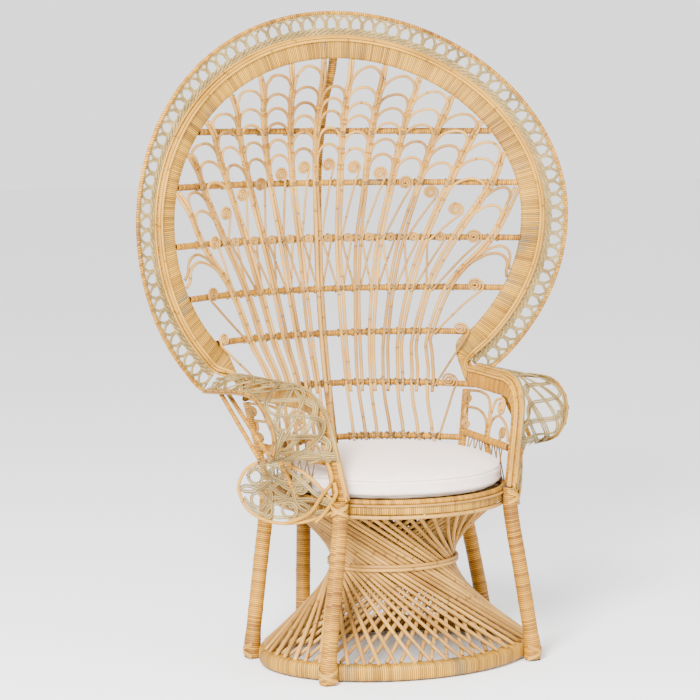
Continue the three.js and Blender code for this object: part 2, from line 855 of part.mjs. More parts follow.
// The scroll of a column, whose tail rises from the stem that carries it
function scrollSolid(column, owner) {
  const z = columnZ(scrollShares[Math.abs(column)]);
  const x = (laneX(column - 0.5, z) + laneX(column + 0.5, z)) / 2;
  const feet = railShares.map(railZ).filter((height) => height < z - 3 * scrollRadius);
  const footZ = feet[feet.length - 1];
  const side = Math.sign(column - owner);
  const points = scrollPoints(x, z, side, scrollRadius, scrollTurns);
  return frontRod([[laneX(owner, footZ), footZ], ...points], owner, 0);
}

// Each stem carries the arches and the scroll of the column on its right; the outermost one on
// the left carries those on both its sides
function addStems() {
  for (let lane = 0.5 - stemsPerSide; lane < stemsPerSide; lane++) {
    const columns = lane === 0.5 - stemsPerSide ? [lane - 0.5, lane + 0.5] : [lane + 0.5];
    const solids = [stemSolid(lane)];
    for (const column of columns) {
      for (const share of archTopShares[Math.abs(column)]) {
        solids.push(archSolid(column, lane, columnZ(share)));
      }
      solids.push(scrollSolid(column, lane));
    }
    const side = lane > 0 ? "right" : "left";
    addPiece(`stem_${side}_${Math.abs(lane) + 0.5}`, trimmedToBand(fuse(solids)), bareRod);
  }
}

// Seat: two rods round a wrapped apron, a strapped deck and a boxed cushion
function addSeat() {
  const hoop = (section) => ovalHoop(seatHalfWidth, seatHalfDepth, seatCentreY, section, ringSteps);
  const upperZ = seatTopZ - seatRodDiameter / 2;
  const upper = roundSection(-seatRodDiameter / 2, upperZ, seatRodDiameter / 2, 5);
  addPiece("seat_rod_upper", hoop(upper), wrappedCane);
  const apronTop = seatTopZ - seatRodDiameter - clearance;
  const apronLow = apronTop - apronHeight;
  const apron = boxSection(-apronDepth, -2 * clearance, apronLow, apronTop);
  addPiece("seat_apron", hoop(apron), wrappedCane);
  const lowerRadius = lowerRodDiameter / 2;
  const lower = roundSection(-lowerRadius, apronLow - clearance - lowerRadius, lowerRadius, 3);
  addPiece("seat_rod_lower", hoop(lower), bareRod);
  addDeck(apronTop);
  addCushion();
}

// The deck lies on the apron inside the upper rod, with square openings between its straps
function addDeck(apronTop) {
  const steps = 40;
  const inset = seatRodDiameter + 2 * clearance;
  const lowZ = apronTop + clearance;
  const plateRow = (z) => {
    const row = [];
    for (let i = 0; i < steps; i++) {
      row.push(ovalPoint(seatHalfWidth, seatHalfDepth, seatCentreY, z, (2 * Math.PI * i) / steps, -inset));
    }
    return row;
  };
  let deck = toManifold(skin([plateRow(lowZ), plateRow(lowZ + deckThickness)]));
  const halfWidth = seatHalfWidth - inset;
  const halfDepth = seatHalfDepth - inset;
  const cellX = (2 * halfWidth) / deckHoleColumns;
  const cellY = (2 * halfDepth) / deckHoleRows;
  for (let i = 0; i < deckHoleColumns; i++) {
    for (let j = 0; j < deckHoleRows; j++) {
      const x = (i + 0.5) * cellX - halfWidth;
      const y = (j + 0.5) * cellY - halfDepth;
      const far = Math.hypot((Math.abs(x) + cellX / 2) / halfWidth, (Math.abs(y) + cellY / 2) / halfDepth);
      if (far < 1.05) {
        const hole = new THREE.BoxGeometry(cellX - deckStrap, cellY - deckStrap, deckThickness * 2);
        hole.translate(x, y + seatCentreY, lowZ + deckThickness / 2);
        deck = deck.subtract(toManifold(welded(hole)));
      }
    }
  }
  addPiece("seat_deck", fromManifold(deck), flatCane);
}

// Boxed cushion: crowned top, sides drawn in between the seams, soft edges
function addCushion() {
  const steps = 28;
  const lowZ = seatTopZ - seatRodDiameter + deckThickness + clearance;
  const seamZ = lowZ + cushionThickness - cushionEdgeRadius;
  const rows = [
    [-cushionEdgeRadius, lowZ],
    [0, lowZ + cushionEdgeRadius],
    [-cushionDrawIn, lowZ + cushionThickness / 2],
    [0, seamZ],
    [-cushionEdgeRadius, seamZ + cushionEdgeRadius],
  ];
  const crownShares = [0.8, 0.55, 0.25];
  const sections = rows.map(([outset, z]) => cushionRow(outset, z, steps));
  for (const share of crownShares) {
    const row = sections[rows.length - 1].map((point) => {
      const inward = new THREE.Vector3(0, seatCentreY, point.z).lerp(point, share);
      inward.z += cushionCrown * (1 - share ** 2);
      return inward;
    });
    sections.push(row);
  }
  addPiece("cushion", skin(sections), cottonCloth);
}

function cushionRow(outset, z, steps) {
  const row = [];
  for (let i = 0; i < steps; i++) {
    const angle = (2 * Math.PI * i) / steps;
    row.push(ovalPoint(cushionHalfWidth, cushionHalfDepth, seatCentreY, z, angle, outset));
  }
  return row;
}

// The ring that the chair stands in, its legs and the two layers of slanting rods
function addBase() {
  const ringTop = baseRingLift + baseRingHeight;
  const ring = bulgedSection(-baseRingDepth, 0, baseRingLift, ringTop, baseRingDepth / 8);
  addPiece("base_ring", ovalHoop(baseHalfWidth, baseHalfDepth, 0, ring, ringSteps), wrappedCane);
  addPair("leg_front", legSolid(frontLegStep), wrappedCane);
  addPair("leg_side", legSolid(sideLegStep), wrappedCane);
  addPair("leg_back", legSolid(backLegStep), wrappedCane);
  addPiece("skirt_outer", skirtLayer(0, -1), bareRod);
  addPiece("skirt_inner", skirtLayer(skirtLayerGap, 1), bareRod);
  addWaist();
}

// Middle of a leg beside the seat's rods
function legHead(step) {
  const angle = (2 * Math.PI * step) / ringSteps;
  const outset = (legDiameter / 2) * Math.cos(Math.PI / legSides) + clearance;
  return ovalPoint(seatHalfWidth, seatHalfDepth, seatCentreY, seatTopZ, angle, outset);
}

// A leg stands outside both rings and runs upright beside each of them, a flat side towards it
function legSolid(step) {
  const angle = (2 * Math.PI * step) / ringSteps;
  const footRadius = legFootDiameter / 2;
  const footOutset = footRadius * Math.cos(Math.PI / legSides) + clearance;
  const ringTop = baseRingLift + baseRingHeight;
  const seatLow = seatTopZ - seatRodDiameter - apronHeight - lowerRodDiameter - 2 * clearance;
  const head = legHead(step);
  const knee = ovalPoint(baseHalfWidth, baseHalfDepth, 0, ringTop, angle, footOutset);
  const rows = [
    [new THREE.Vector3(knee.x, knee.y, 0), footRadius],
    [knee, footRadius],
    [new THREE.Vector3(head.x, head.y, seatLow), legDiameter / 2],
    [head, legDiameter / 2],
  ];
  const across = new THREE.Vector3(Math.cos(angle) / baseHalfWidth, Math.sin(angle) / baseHalfDepth, 0);
  across.normalize();
  const deep = up.clone().cross(across);
  return skin(rows.map(([centre, radius]) => ovalSection(centre, across, deep, radius, radius, legSides)));
}

// One layer of straight rods, all slanting the same way, tied by a thin hoop inside the waist
function skirtLayer(inset, direction) {
  const solids = [];
  for (let i = 0; i < skirtRods; i++) {
    solids.push(skirtRod((2 * Math.PI * i) / skirtRods, inset, direction));
  }
  const height = skirtLowZ() + waistShare * (skirtTopZ() - skirtLowZ()) - tieRodDiameter;
  solids.push(waistHoop(inset, direction, height, tieRodDiameter / 2, 0, skirtRods, 3));
  return fuse(solids);
}

function skirtLowZ() {
  return baseRingLift + baseRingHeight + clearance;
}

function skirtTopZ() {
  return seatTopZ - seatRodDiameter - apronHeight - 2 * clearance;
}

// Where a level line from a point inside an oval meets the oval
function meetOval(from, direction, halfWidth, halfDepth, centreY) {
  const px = from.x / halfWidth;
  const py = (from.y - centreY) / halfDepth;
  const dx = direction.x / halfWidth;
  const dy = direction.y / halfDepth;
  const a = dx * dx + dy * dy;
  const b = px * dx + py * dy;
  const c = px * px + py * py - 1;
  const run = (-b + Math.sqrt(b * b - a * c)) / a;
  return from.clone().addScaledVector(direction, run);
}

// Moves a point level from a centre on the Y axis until it lies on an oval
function ontoOval(point, halfWidth, halfDepth, centreY) {
  const share = 1 / Math.hypot(point.x / halfWidth, (point.y - centreY) / halfDepth);
  return new THREE.Vector3(point.x * share, centreY + (point.y - centreY) * share, point.z);
}

// Foot, waist, shoulder and head of one slanting rod, which brushes the waist oval on its way up
function skirtPoints(angle, inset, direction) {
  const halfWidth = waistHalfWidth - inset;
  const halfDepth = waistHalfDepth - inset;
  const waistZ = THREE.MathUtils.lerp(skirtLowZ(), skirtTopZ(), waistShare);
  const waist = ovalPoint(halfWidth, halfDepth, seatCentreY / 2, waistZ, angle, 0);
  const along = new THREE.Vector3(-halfWidth * Math.sin(angle), halfDepth * Math.cos(angle), 0);
  along.normalize().multiplyScalar(direction);
  const footInset = skirtFootInset + inset;
  const headInset = skirtHeadInset + inset;
  const head = meetOval(waist, along, seatHalfWidth - headInset, seatHalfDepth - headInset, seatCentreY);
  along.negate();
  const foot = meetOval(waist, along, baseHalfWidth - footInset, baseHalfDepth - footInset, 0);
  foot.z = skirtLowZ();
  head.z = skirtTopZ();
  const middle = waist.clone().lerp(head, 0.5);
  const shoulderY = (seatCentreY * 3) / 4;
  const shoulder = ontoOval(middle, shoulderHalfWidth - inset, shoulderHalfDepth - inset, shoulderY);
  return [foot, waist, shoulder, head];
}

function skirtRod(angle, inset, direction) {
  const points = skirtPoints(angle, inset, direction);
  const foot = points[0];
  const head = points[points.length - 1];
  const run = new THREE.Vector3(head.x - foot.x, head.y - foot.y, 0).normalize();
  const side = new THREE.Vector3(-run.y, run.x, 0);
  const along = head.clone().sub(foot).normalize();
  const radius = skirtRodDiameter / 2;
  const stretch = radius / along.z;
  const sides = 3;
  return skin(points.map((point) => ovalSection(point, run, side, stretch, radius, sides)));
}

// Two rods bind the outer layer at the waist
function addWaist() {
  const radius = waistRodDiameter / 2;
  const middleZ = THREE.MathUtils.lerp(skirtLowZ(), skirtTopZ(), waistShare);
  const lift = radius * Math.cos(Math.PI / 10) + clearance / 2;
  const rodReach = (skirtRodDiameter / 2) * Math.cos(Math.PI / 6);
  const outset = rodReach + radius + waistGap;
  addPiece("waist_rod_lower", waistHoop(0, -1, middleZ - lift, radius, outset, 28, 5), bareRod);
  addPiece("waist_rod_upper", waistHoop(0, -1, middleZ + lift, radius, outset, 28, 5), bareRod);
}

// A round hoop that follows a layer of slanting rods at one height
function waistHoop(inset, direction, z, radius, outset, steps, sides) {
  const line = [];
  for (let i = 0; i < steps; i++) {
    const [foot, waist, shoulder] = skirtPoints((2 * Math.PI * i) / steps, inset, direction);
    const far = z > waist.z ? shoulder : foot;
    line.push(waist.clone().lerp(far, (z - waist.z) / (far.z - waist.z)));
  }
  const sections = line.map((point, i) => {
    const before = line[(i + steps - 1) % steps];
    const after = line[(i + 1) % steps];
    const out = after.clone().sub(before).cross(up).normalize();
    return ovalSection(point.clone().addScaledVector(out, outset), out, up, radius, radius, sides);
  });
  return skin(sections, true);
}

// Arms
function backPostY(z) {
  const head = legHead(sideLegStep);
  const share = (z - seatTopZ) / (armTopZ - armBandWidth - seatTopZ);
  return THREE.MathUtils.lerp(head.y, armElbowY + backPostWidth / 2, share);
}

function backPostX(z) {
  return armX(backPostY(z), z);
}

// Post under the elbow, a flat wrapped bar in the plane of the arm
function addBackPosts() {
  const half = backPostWidth / 2;
  const thick = backPostThickness / 2;
  const topZ = armTopZ - armBandWidth - bandThickness / 2 - clearance;
  const sections = [seatTopZ + clearance, topZ].map((z) => {
    const y = backPostY(z);
    const x = armX(y, z);
    return [
      new THREE.Vector3(x - thick, y - half, z),
      new THREE.Vector3(x + thick, y - half, z),
      new THREE.Vector3(x + thick, y + half, z),
      new THREE.Vector3(x - thick, y + half, z),
    ];
  });
  addPair("arm_back_post", skin(sections), wrappedCane);
}

// Rail between the back post and the front of the arm
function addArmRails() {
  const frontY = armFrontLineY(armRailZ) + armBandWidth + armRailGap;
  const backPostFace = backPostY(armRailZ) - backPostWidth / 2 - armRailGap - 2 * clearance;
  const from = armPoint(backPostFace, armRailZ);
  const to = armPoint(frontY, armRailZ);
  addPair("arm_rail", straightRod(from, to, armRailDiameter / 2, armRailDiameter / 2, 8), wrappedCane);
}

// Inner edge of the side panel: beside the band from the fan's end to a little above the seat
function wingInner() {
  const outset = pipingDiameter + panelThickness + panelThickness / 2;
  const fanEnd = armCount + fanSteps;
  const points = [pointBeside(fanEnd, wingEndShare, outset, 0)];
  for (let station = fanEnd + 1; station < lastStation; station++) {
    points.push(pointBeside(station, 0, outset, 0));
  }
  return points;
}

// Outer line of the side panel, which stands out from the arm and dips in at its ends
function wingRim() {
  const points = wingRimShares.map(([out, back, rise]) => {
    return new THREE.Vector3(armTopX + out * wingReach, back * wingReach, armTopZ + rise * wingReach);
  });
  points.unshift(pointBeside(armCount + fanSteps, wingEndShare, laceWidth, 0));
  return new THREE.CatmullRomCurve3(points);
}

// A panel of crossing canes between two edges, with a diamond opening in each cell
function canePanel(edgeA, edgeB, rows) {
  const opening = [[0.5, 0.13], [0.87, 0.5], [0.5, 0.87], [0.13, 0.5]];
  const columns = edgeA.length - 1;
  const place = (x, y, lift) => {
    const from = Math.min(Math.floor(x), columns - 1);
    const a = edgeA[from].clone().lerp(edgeA[from + 1], x - from);
    const b = edgeB[from].clone().lerp(edgeB[from + 1], x - from);
    const before = Math.max(0, Math.ceil(x) - 1);
    const after = Math.min(columns, Math.floor(x) + 1);
    const alongA = edgeA[after].clone().sub(edgeA[before]).normalize();
    const alongB = edgeB[after].clone().sub(edgeB[before]).normalize();
    const across = b.clone().sub(a).normalize();
    const normal = alongA.lerp(alongB, y / rows).cross(across).normalize();
    return a.lerp(b, y / rows).addScaledVector(normal, lift);
  };
  return latticePanel(columns, rows, opening, panelThickness, place);
}

// Distance run along a row of points, as shares of the whole
function runShares(points) {
  const runs = [0];
  for (let i = 1; i < points.length; i++) {
    runs.push(runs[i - 1] + points[i].distanceTo(points[i - 1]));
  }
  return runs.map((run) => run / runs[runs.length - 1]);
}

function addWings() {
  const inner = wingInner();
  const rim = wingRim();
  const radius = wingRimDiameter / 2;
  const rimPoints = runShares(inner).map((share) => rim.getPointAt(share));
  const outer = rimPoints.map((point, i) => {
    const reach = point.distanceTo(inner[i]);
    return point.clone().lerp(inner[i], (radius + 6 * clearance) / reach);
  });
  addPair("arm_wing", canePanel(inner, outer, 2), flatCane);
  addPair("arm_wing_rim", rodThrough(rimPoints, radius, 5), bareRod);
}

// A rod straight from point to point
function rodThrough(points, radius, sides) {
  const helper = new THREE.Vector3(1, 0, 0);
  const sections = points.map((point, i) => {
    const before = points[Math.max(0, i - 1)];
    const after = points[Math.min(points.length - 1, i + 1)];
    const along = after.clone().sub(before).normalize();
    const across = helper.clone().cross(along).normalize();
    return ovalSection(point, across, along.clone().cross(across), radius, radius, sides);
  });
  return skin(sections);
}

// The leaf shaped panel below each arm, which springs from the front leg
function addLobes() {
  const direction = new THREE.Vector3(Math.sin(lobeOutwardAngle), Math.cos(lobeOutwardAngle), 0);
  const root = legHead(frontLegStep).addScaledVector(direction, legDiameter / 2 + clearance);
  const corner = ([along, rise]) => {
    const point = root.clone().addScaledVector(direction, along * lobeReach);
    point.z = wingLowZ + (rise - 1) * lobeHeight;
    return point;
  };
  const columns = 6;
  const upper = new THREE.CatmullRomCurve3(lobeTopShares.map(corner)).getSpacedPoints(columns);
  const lower = new THREE.CatmullRomCurve3(lobeLowShares.map(corner)).getSpacedPoints(columns);
  addPair("arm_lobe", canePanel(lower, upper, 2), flatCane);
}

addBase();
addSeat();
addBand();
addLace();
addRimRod();
addRails();
addCentrePost();
addStems();
addBackPosts();
addArmRails();
addWings();
addLobes();

// The origin is the middle of the footprint, on the floor
const bounds = new THREE.Box3().setFromObject(chair);
const middle = bounds.getCenter(new THREE.Vector3());
chair.position.set(-middle.x, -middle.y, -bounds.min.z);
chair.updateMatrixWorld(true);

export default chair;
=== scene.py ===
import math

import bpy
import numpy as np
from mathutils import Matrix, Vector


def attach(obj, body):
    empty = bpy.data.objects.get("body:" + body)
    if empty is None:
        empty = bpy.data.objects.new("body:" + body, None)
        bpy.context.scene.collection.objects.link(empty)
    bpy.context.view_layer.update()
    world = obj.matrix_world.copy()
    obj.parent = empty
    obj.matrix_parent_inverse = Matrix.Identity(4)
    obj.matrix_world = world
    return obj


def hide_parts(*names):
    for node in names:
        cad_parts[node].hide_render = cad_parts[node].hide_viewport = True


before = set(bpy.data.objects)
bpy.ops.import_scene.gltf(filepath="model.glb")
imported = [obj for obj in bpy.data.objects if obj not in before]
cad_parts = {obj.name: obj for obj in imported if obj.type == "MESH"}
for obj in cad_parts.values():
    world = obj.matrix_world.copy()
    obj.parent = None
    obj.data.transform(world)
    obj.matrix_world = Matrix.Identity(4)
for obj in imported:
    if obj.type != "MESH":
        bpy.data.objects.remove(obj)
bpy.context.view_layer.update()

# The studio: a plain pale floor, soft light from all round with a broad lamp at the upper
# left, and the camera a little above the arms, turned to the chair's left front.
eye = Vector((-2.365, -4.656, 1.262))
heading, pitch_down = math.radians(26.2), math.radians(6.08)
lens_per_frame = 2250 / 700
sensor = 36.0
floor_reach = 30
forward = Vector((math.sin(heading) * math.cos(pitch_down), math.cos(heading) * math.cos(pitch_down),
                  -math.sin(pitch_down)))
rightward = Vector((math.cos(heading), -math.sin(heading), 0))
upward = rightward.cross(forward)
camera_data = bpy.data.cameras.new("camera")
camera_data.sensor_width = sensor
camera_data.lens = lens_per_frame * sensor
camera = bpy.data.objects.new("camera", camera_data)
camera.matrix_world = Matrix.Translation(eye) @ Matrix((rightward, upward, -forward)).transposed().to_4x4()
bpy.context.scene.collection.objects.link(camera)
bpy.context.scene.camera = camera

floor_mesh = bpy.data.meshes.new("floor")
floor_mesh.from_pydata([(x * floor_reach, y * floor_reach, 0) for x, y in ((-1, -1), (1, -1), (1, 1), (-1, 1))],
                       [], [(0, 1, 2, 3)])
floor = bpy.data.objects.new("floor", floor_mesh)
bpy.context.scene.collection.objects.link(floor)
floor_paint = bpy.data.materials.new("floor_paint")
floor_paint.use_nodes = True
floor_shader = floor_paint.node_tree.nodes["Principled BSDF"]
floor_shader.inputs["Base Color"].default_value = (0.93, 0.93, 0.93, 1)
floor_shader.inputs["Roughness"].default_value = 0.9
floor_shader.inputs["Specular IOR Level"].default_value = 0.1
floor_mesh.materials.append(floor_paint)

world = bpy.data.worlds.new("studio")
bpy.context.scene.world = world
world.use_nodes = True
world.node_tree.nodes["Background"].inputs["Color"].default_value = (1.0, 1.0, 1.0, 1)
world.node_tree.nodes["Background"].inputs["Strength"].default_value = 1.8


def soft_lamp(name, place, aim_height, size, power):
    lamp_data = bpy.data.lights.new(name, "AREA")
    lamp_data.shape = "DISK"
    lamp_data.size = size
    lamp_data.energy = power
    lamp = bpy.data.objects.new(name, lamp_data)
    lamp.location = place
    lamp.rotation_euler = (Vector((0, 0, aim_height)) - Vector(place)).to_track_quat("-Z", "Y").to_euler()
    bpy.context.scene.collection.objects.link(lamp)


soft_lamp("lamp_upper_left", (-3.2, -3.4, 3.4), 0.7, 1.8, 1150)
soft_lamp("lamp_right", (3.0, -3.2, 1.8), 0.7, 2.6, 60)
soft_lamp("lamp_low_front", (-0.6, -4.2, 0.5), 0.3, 1.8, 60)

# Wound cane: a core rod with one flat strand of cane wound round it, turn beside turn.
# The strand is geometry; its colour changes a little from turn to turn, some lengths
# of it are stained grey-green as split cane is, and painted shade darkens the grooves between turns.
strand_shares = np.array([0.0, 0.15, 0.5, 0.85])
strand_heights = np.array([-1.0, 0.15, 0.4, 0.15])
uneven_share, uneven_share_in_hoop = 0.35, 0.7


def run_of(line):
    """Distance run along a line at each of its points."""
    return np.concatenate([[0], np.cumsum(np.linalg.norm(np.diff(line, axis=0), axis=1))])


def drawn_at(at, run, *lines):
    """What each line holds at places given on the run that they share."""
    return [np.stack([np.interp(at, run, a[:, k]) for k in range(a.shape[1])], -1) for a in lines]


def section_of(sides, square):
    """Unit section from round (2) to nearly square, and the directions outward from its middle."""
    turn = 2 * np.pi * np.arange(sides) / sides - np.pi / 2
    c, s = np.cos(turn), np.sin(turn)
    power = 2 / square
    return np.sign(c) * np.abs(c) ** power, np.sign(s) * np.abs(s) ** power, c, s


def corner_marks(u0, u1, v0, v1):
    return np.stack([np.stack(mark, -1) for mark in ((u0, v0), (u0, v1), (u1, v1), (u1, v0))], -2)


def turned_out(verts, quads, uv, caps, across, deep, line, luck=0.0):
    """Closed shell as points, faces and their winding coordinates, with the faces outward."""
    k = len(line) // 2
    along = line[min(k + 1, len(line) - 1)] - line[max(k - 1, 0)]
    if np.cross(across[k], deep[k]).dot(along) < 0:
        quads, uv, caps = quads[:, ::-1], uv[:, ::-1], [cap[::-1] for cap in caps]
    elif caps:
        caps = [caps[0][::-1], caps[1]]
    return [verts, quads, uv, caps, luck]


def wind(line, across, deep, half_wide, half_deep, *, pitch, ridge, sides, seed, square=2.0, closed=False):
    """A wound bar: every row of points follows the strand round the core."""
    if closed:
        line, across, deep = (np.vstack([a, a[:1]]) for a in (line, across, deep))
    run = run_of(line)
    length = run[-1]
    last_turn = 0 if closed else 1
    turns = max(2, int(round(length / pitch)) - last_turn)
    pitch = length / (turns + last_turn)
    luck = np.random.RandomState(seed).uniform(-1, 1, turns + 3)
    q = len(strand_shares)
    turn_number = (np.arange(turns)[:, None] + strand_shares).ravel()
    lift = np.tile(strand_heights, turns)
    if not closed:
        turn_number = np.append(turn_number, turns)
        lift = np.append(lift, strand_heights[0])
    rows = len(turn_number)
    j = np.arange(sides)
    at = (turn_number[:, None] + j / sides) * pitch
    number = np.clip(np.floor(turn_number).astype(int), 0, turns - 1)
    bump = luck[number][:, None] * (1 - j / sides) + luck[number + 1][:, None] * (j / sides)
    if closed:
        at = at % length
        bump = bump * uneven_share_in_hoop
    cx, cs, nx, ns = section_of(sides, square)
    middle, way_wide, way_deep = drawn_at(at, run, line, across, deep)
    wide, thick = (np.interp(at, run, half) if np.ndim(half) else half for half in (half_wide, half_deep))
    height = lift[:, None] * ridge + bump * ridge * uneven_share
    verts = middle + way_wide * (wide * cx + height * nx)[..., None] + way_deep * (thick * cs + height * ns)[..., None]

    def row(number):
        return (number % rows if closed else np.minimum(number, rows - 1)) * sides

    i = np.arange(rows if closed else rows - 1)[:, None]
    here, beyond, last = row(i) + j, row(i + 1) + j, j == sides - 1
    side_here = np.where(last, row(i + q), here + 1)
    side_beyond = np.where(last, row(i + 1 + q), beyond + 1)
    keep = ~(last & (i + 1 + q >= rows)) | closed
    quads = np.stack([here, side_here, side_beyond, beyond], -1)[keep]
    u0 = np.broadcast_to(turn_number[: len(i), None], here.shape)
    u1 = u0 + np.append(np.diff(turn_number), turns - turn_number[-1])[: len(i), None]
    v0 = np.broadcast_to(j / sides, here.shape)
    caps = []
    if not closed:
        start = [*range(sides), *(m * sides for m in range(q, 0, -1))]
        end = [(rows - 1) * sides + k for k in range(sides)]
        end += [(rows - 1 - m) * sides + sides - 1 for m in range(1, q + 1)]
        caps = [start, end]
    return turned_out(verts.reshape(-1, 3), quads, corner_marks(u0, u1, v0, v0 + 1 / sides)[keep], caps,
                      across, deep, line)


def add_piece(name, shells, material, nodes=(), coordinates="run"):
    """One object from one or more closed shells; it rides on the chair and stands for CAD nodes."""
    verts, corners, starts, uvs, lucks = [], [], [], [], []
    base = total = 0
    for shell, quads, uv, caps, luck in shells:
        verts.append(shell)
        corners.append((quads + base).ravel())
        starts.append(total + 4 * np.arange(len(quads)))
        total += 4 * len(quads)
        uvs.append(uv.reshape(-1, 2))
        for cap, end in zip(caps, (uvs[-1][0], uvs[-1][-1])):
            corners.append(np.array(cap) + base)
            starts.append(np.array([total]))
            total += len(cap)
            uvs.append(np.tile([[end[0], 0.5]], (len(cap), 1)))
        lucks.append(np.full(len(shell), luck))
        base += len(shell)
    mesh = bpy.data.meshes.new(name)
    points, corner, start = np.concatenate(verts), np.concatenate(corners), np.concatenate(starts)
    mesh.vertices.add(len(points))
    mesh.vertices.foreach_set("co", points.astype(np.float32).ravel())
    mesh.loops.add(len(corner))
    mesh.loops.foreach_set("vertex_index", corner.astype(np.int32))
    mesh.polygons.add(len(start))
    mesh.polygons.foreach_set("loop_start", start.astype(np.int32))
    mesh.update(calc_edges=True)
    mesh.uv_layers.new(name=coordinates).uv.foreach_set("vector", np.concatenate(uvs).astype(np.float32).ravel())
    mesh.attributes.new("luck", "FLOAT", "POINT").data.foreach_set("value", np.concatenate(lucks).astype(np.float32))
    mesh.shade_smooth()
    mesh.materials.append(material)
    piece = bpy.data.objects.new(name, mesh)
    bpy.context.scene.collection.objects.link(piece)
    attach(piece, "root")
    if nodes:
        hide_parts(*nodes)


class Paint:
    """Short way to place and link the nodes of a material or of a node group."""

    def __init__(self, tree):
        self.tree = tree

    def put(self, value, socket):
        if isinstance(value, bpy.types.NodeSocket):
            self.tree.links.new(value, socket)
        else:
            socket.default_value = value

    def node(self, kind, settings=None, **inputs):
        made = self.tree.nodes.new(kind)
        for key, value in (settings or {}).items():
            setattr(made, key, value)
        for key, value in inputs.items():
            self.put(value, made.inputs[int(key[1:]) if key[0] == "i" and key[1:].isdigit() else key])
        return made

    def math(self, operation, a, b=0.0, clamp=False):
        return self.node("ShaderNodeMath", {"operation": operation, "use_clamp": clamp}, i0=a, i1=b).outputs[0]

    def plus(self, a, b, clamp=False):
        return self.math("ADD", a, b, clamp)

    def less(self, a, b, clamp=False):
        return self.math("SUBTRACT", a, b, clamp)

    def times(self, a, b):
        return self.math("MULTIPLY", a, b)

    def mix(self, share, a, b):
        return self.node("ShaderNodeMix", {"data_type": "RGBA"}, i0=share, i6=a, i7=b).outputs[2]

    def ramp(self, value, low, high, to_low=0.0, to_high=1.0):
        return self.node("ShaderNodeMapRange", {"interpolation_type": "SMOOTHSTEP"},
                         i0=value, i1=low, i2=high, i3=to_low, i4=to_high).outputs[0]

    def noise(self, at, scale, detail, **more):
        return self.node("ShaderNodeTexNoise", i0=at, Scale=scale, Detail=detail, **more).outputs[0]

    def chance(self, number):
        return self.node("ShaderNodeTexWhiteNoise", {"noise_dimensions": "1D"}, W=number).outputs[0]

    def place(self):
        return self.node("ShaderNodeTexCoord").outputs["Object"]

    def split(self, vector):
        return self.node("ShaderNodeSeparateXYZ", i0=vector).outputs

    def marks(self, name):
        return self.split(self.node("ShaderNodeUVMap", {"uv_map": name}).outputs[0])

    def vector(self, x, y, z):
        return self.node("ShaderNodeCombineXYZ", i0=x, i1=y, i2=z).outputs[0]


def new_group(name, **inputs):
    """A node group with colours and numbers to set, which gives a colour, a roughness and a height."""
    group = bpy.data.node_groups.new(name, "ShaderNodeTree")
    for label, value in inputs.items():
        kind = "NodeSocketFloat" if isinstance(value, float) else "NodeSocketColor"
        group.interface.new_socket(name=label, in_out="INPUT", socket_type=kind).default_value = value
    for label, kind in (("Color", "Color"), ("Roughness", "Float"), ("Height", "Float")):
        group.interface.new_socket(name=label, in_out="OUTPUT", socket_type="NodeSocket" + kind)
    return Paint(group), group.nodes.new("NodeGroupInput").outputs, group.nodes.new("NodeGroupOutput").inputs


def new_finish(name, group, bump, **values):
    """A material whose colour, gloss and grain come from a node group with its own values."""
    material = bpy.data.materials.new(name)
    material.use_nodes = True
    paint = Paint(material.node_tree)
    shader = paint.tree.nodes["Principled BSDF"]
    look = paint.node("ShaderNodeGroup", {"node_tree": group}, **values).outputs
    relief = paint.node("ShaderNodeBump", Strength=0.5, Distance=bump, Height=look["Height"])
    paint.put(look["Color"], shader.inputs["Base Color"])
    paint.put(look["Roughness"], shader.inputs["Roughness"])
    paint.put(relief.outputs["Normal"], shader.inputs["Normal"])
    shader.inputs["Specular IOR Level"].default_value = 0.25
    return material


paint, given, out = new_group("wound_strand", Light=(0.62, 0.285, 0.012, 1), Deep=(0.15, 0.052, 0.002, 1),
                              Stain=(0.14, 0.12, 0.06, 1), Stained=0.15)
turn, side, _ = paint.marks("turns")
turn_id = paint.math("FLOOR", turn)
dice, second = paint.chance(turn_id), paint.chance(paint.plus(turn_id, 0.37))
place = paint.place()
patch, stretch = paint.noise(place, 7.0, 2.0), paint.noise(place, 11.0, 1.0)
fibre = paint.noise(paint.vector(paint.times(turn, 9.0), paint.times(side, 5.0), dice), 1.0, 3.0)
tone = paint.plus(paint.times(dice, 0.55), paint.times(fibre, 0.45))
tone = paint.plus(tone, paint.times(paint.less(patch, 0.5), 1.3), clamp=True)
colour = paint.mix(tone, given["Light"], given["Deep"])
reach = paint.ramp(stretch, paint.less(0.72, paint.times(given["Stained"], 0.3)), 0.78)
marked = paint.times(reach, paint.ramp(second, 0.35, 0.6))
marked = paint.times(marked, paint.ramp(fibre, 0.3, 0.6, 0.35, 0.9))
colour = paint.mix(marked, colour, given["Stain"])
# Painted shade: each turn darkens to near black towards its two edges, in the groove between it and the next turn.
from_middle = paint.times(paint.math("ABSOLUTE", paint.less(paint.math("FRACT", turn), 0.5)), 2.0)
groove_shade = paint.ramp(from_middle, 0.5, 0.98)
paint.put(paint.mix(paint.times(groove_shade, 0.92), colour, (0.03, 0.009, 0.002, 1)), out["Color"])
paint.put(paint.ramp(fibre, 0.2, 0.8, 0.42, 0.62), out["Roughness"])
paint.put(fibre, out["Height"])
strand_group = paint.tree
wound_cane = new_finish("wound_cane", strand_group, 0.0002)
stained_cane = new_finish("wound_cane_stained", strand_group, 0.0002, Light=(0.60, 0.30, 0.02, 1),
                          Deep=(0.16, 0.068, 0.003, 1), Stain=(0.13, 0.12, 0.065, 1), Stained=0.6)


def add_wound(name, shells, finish=wound_cane):
    """A wound piece, which stands for the CAD node of its own name."""
    add_piece(f"{name}_wound", shells, finish, [name], "turns")


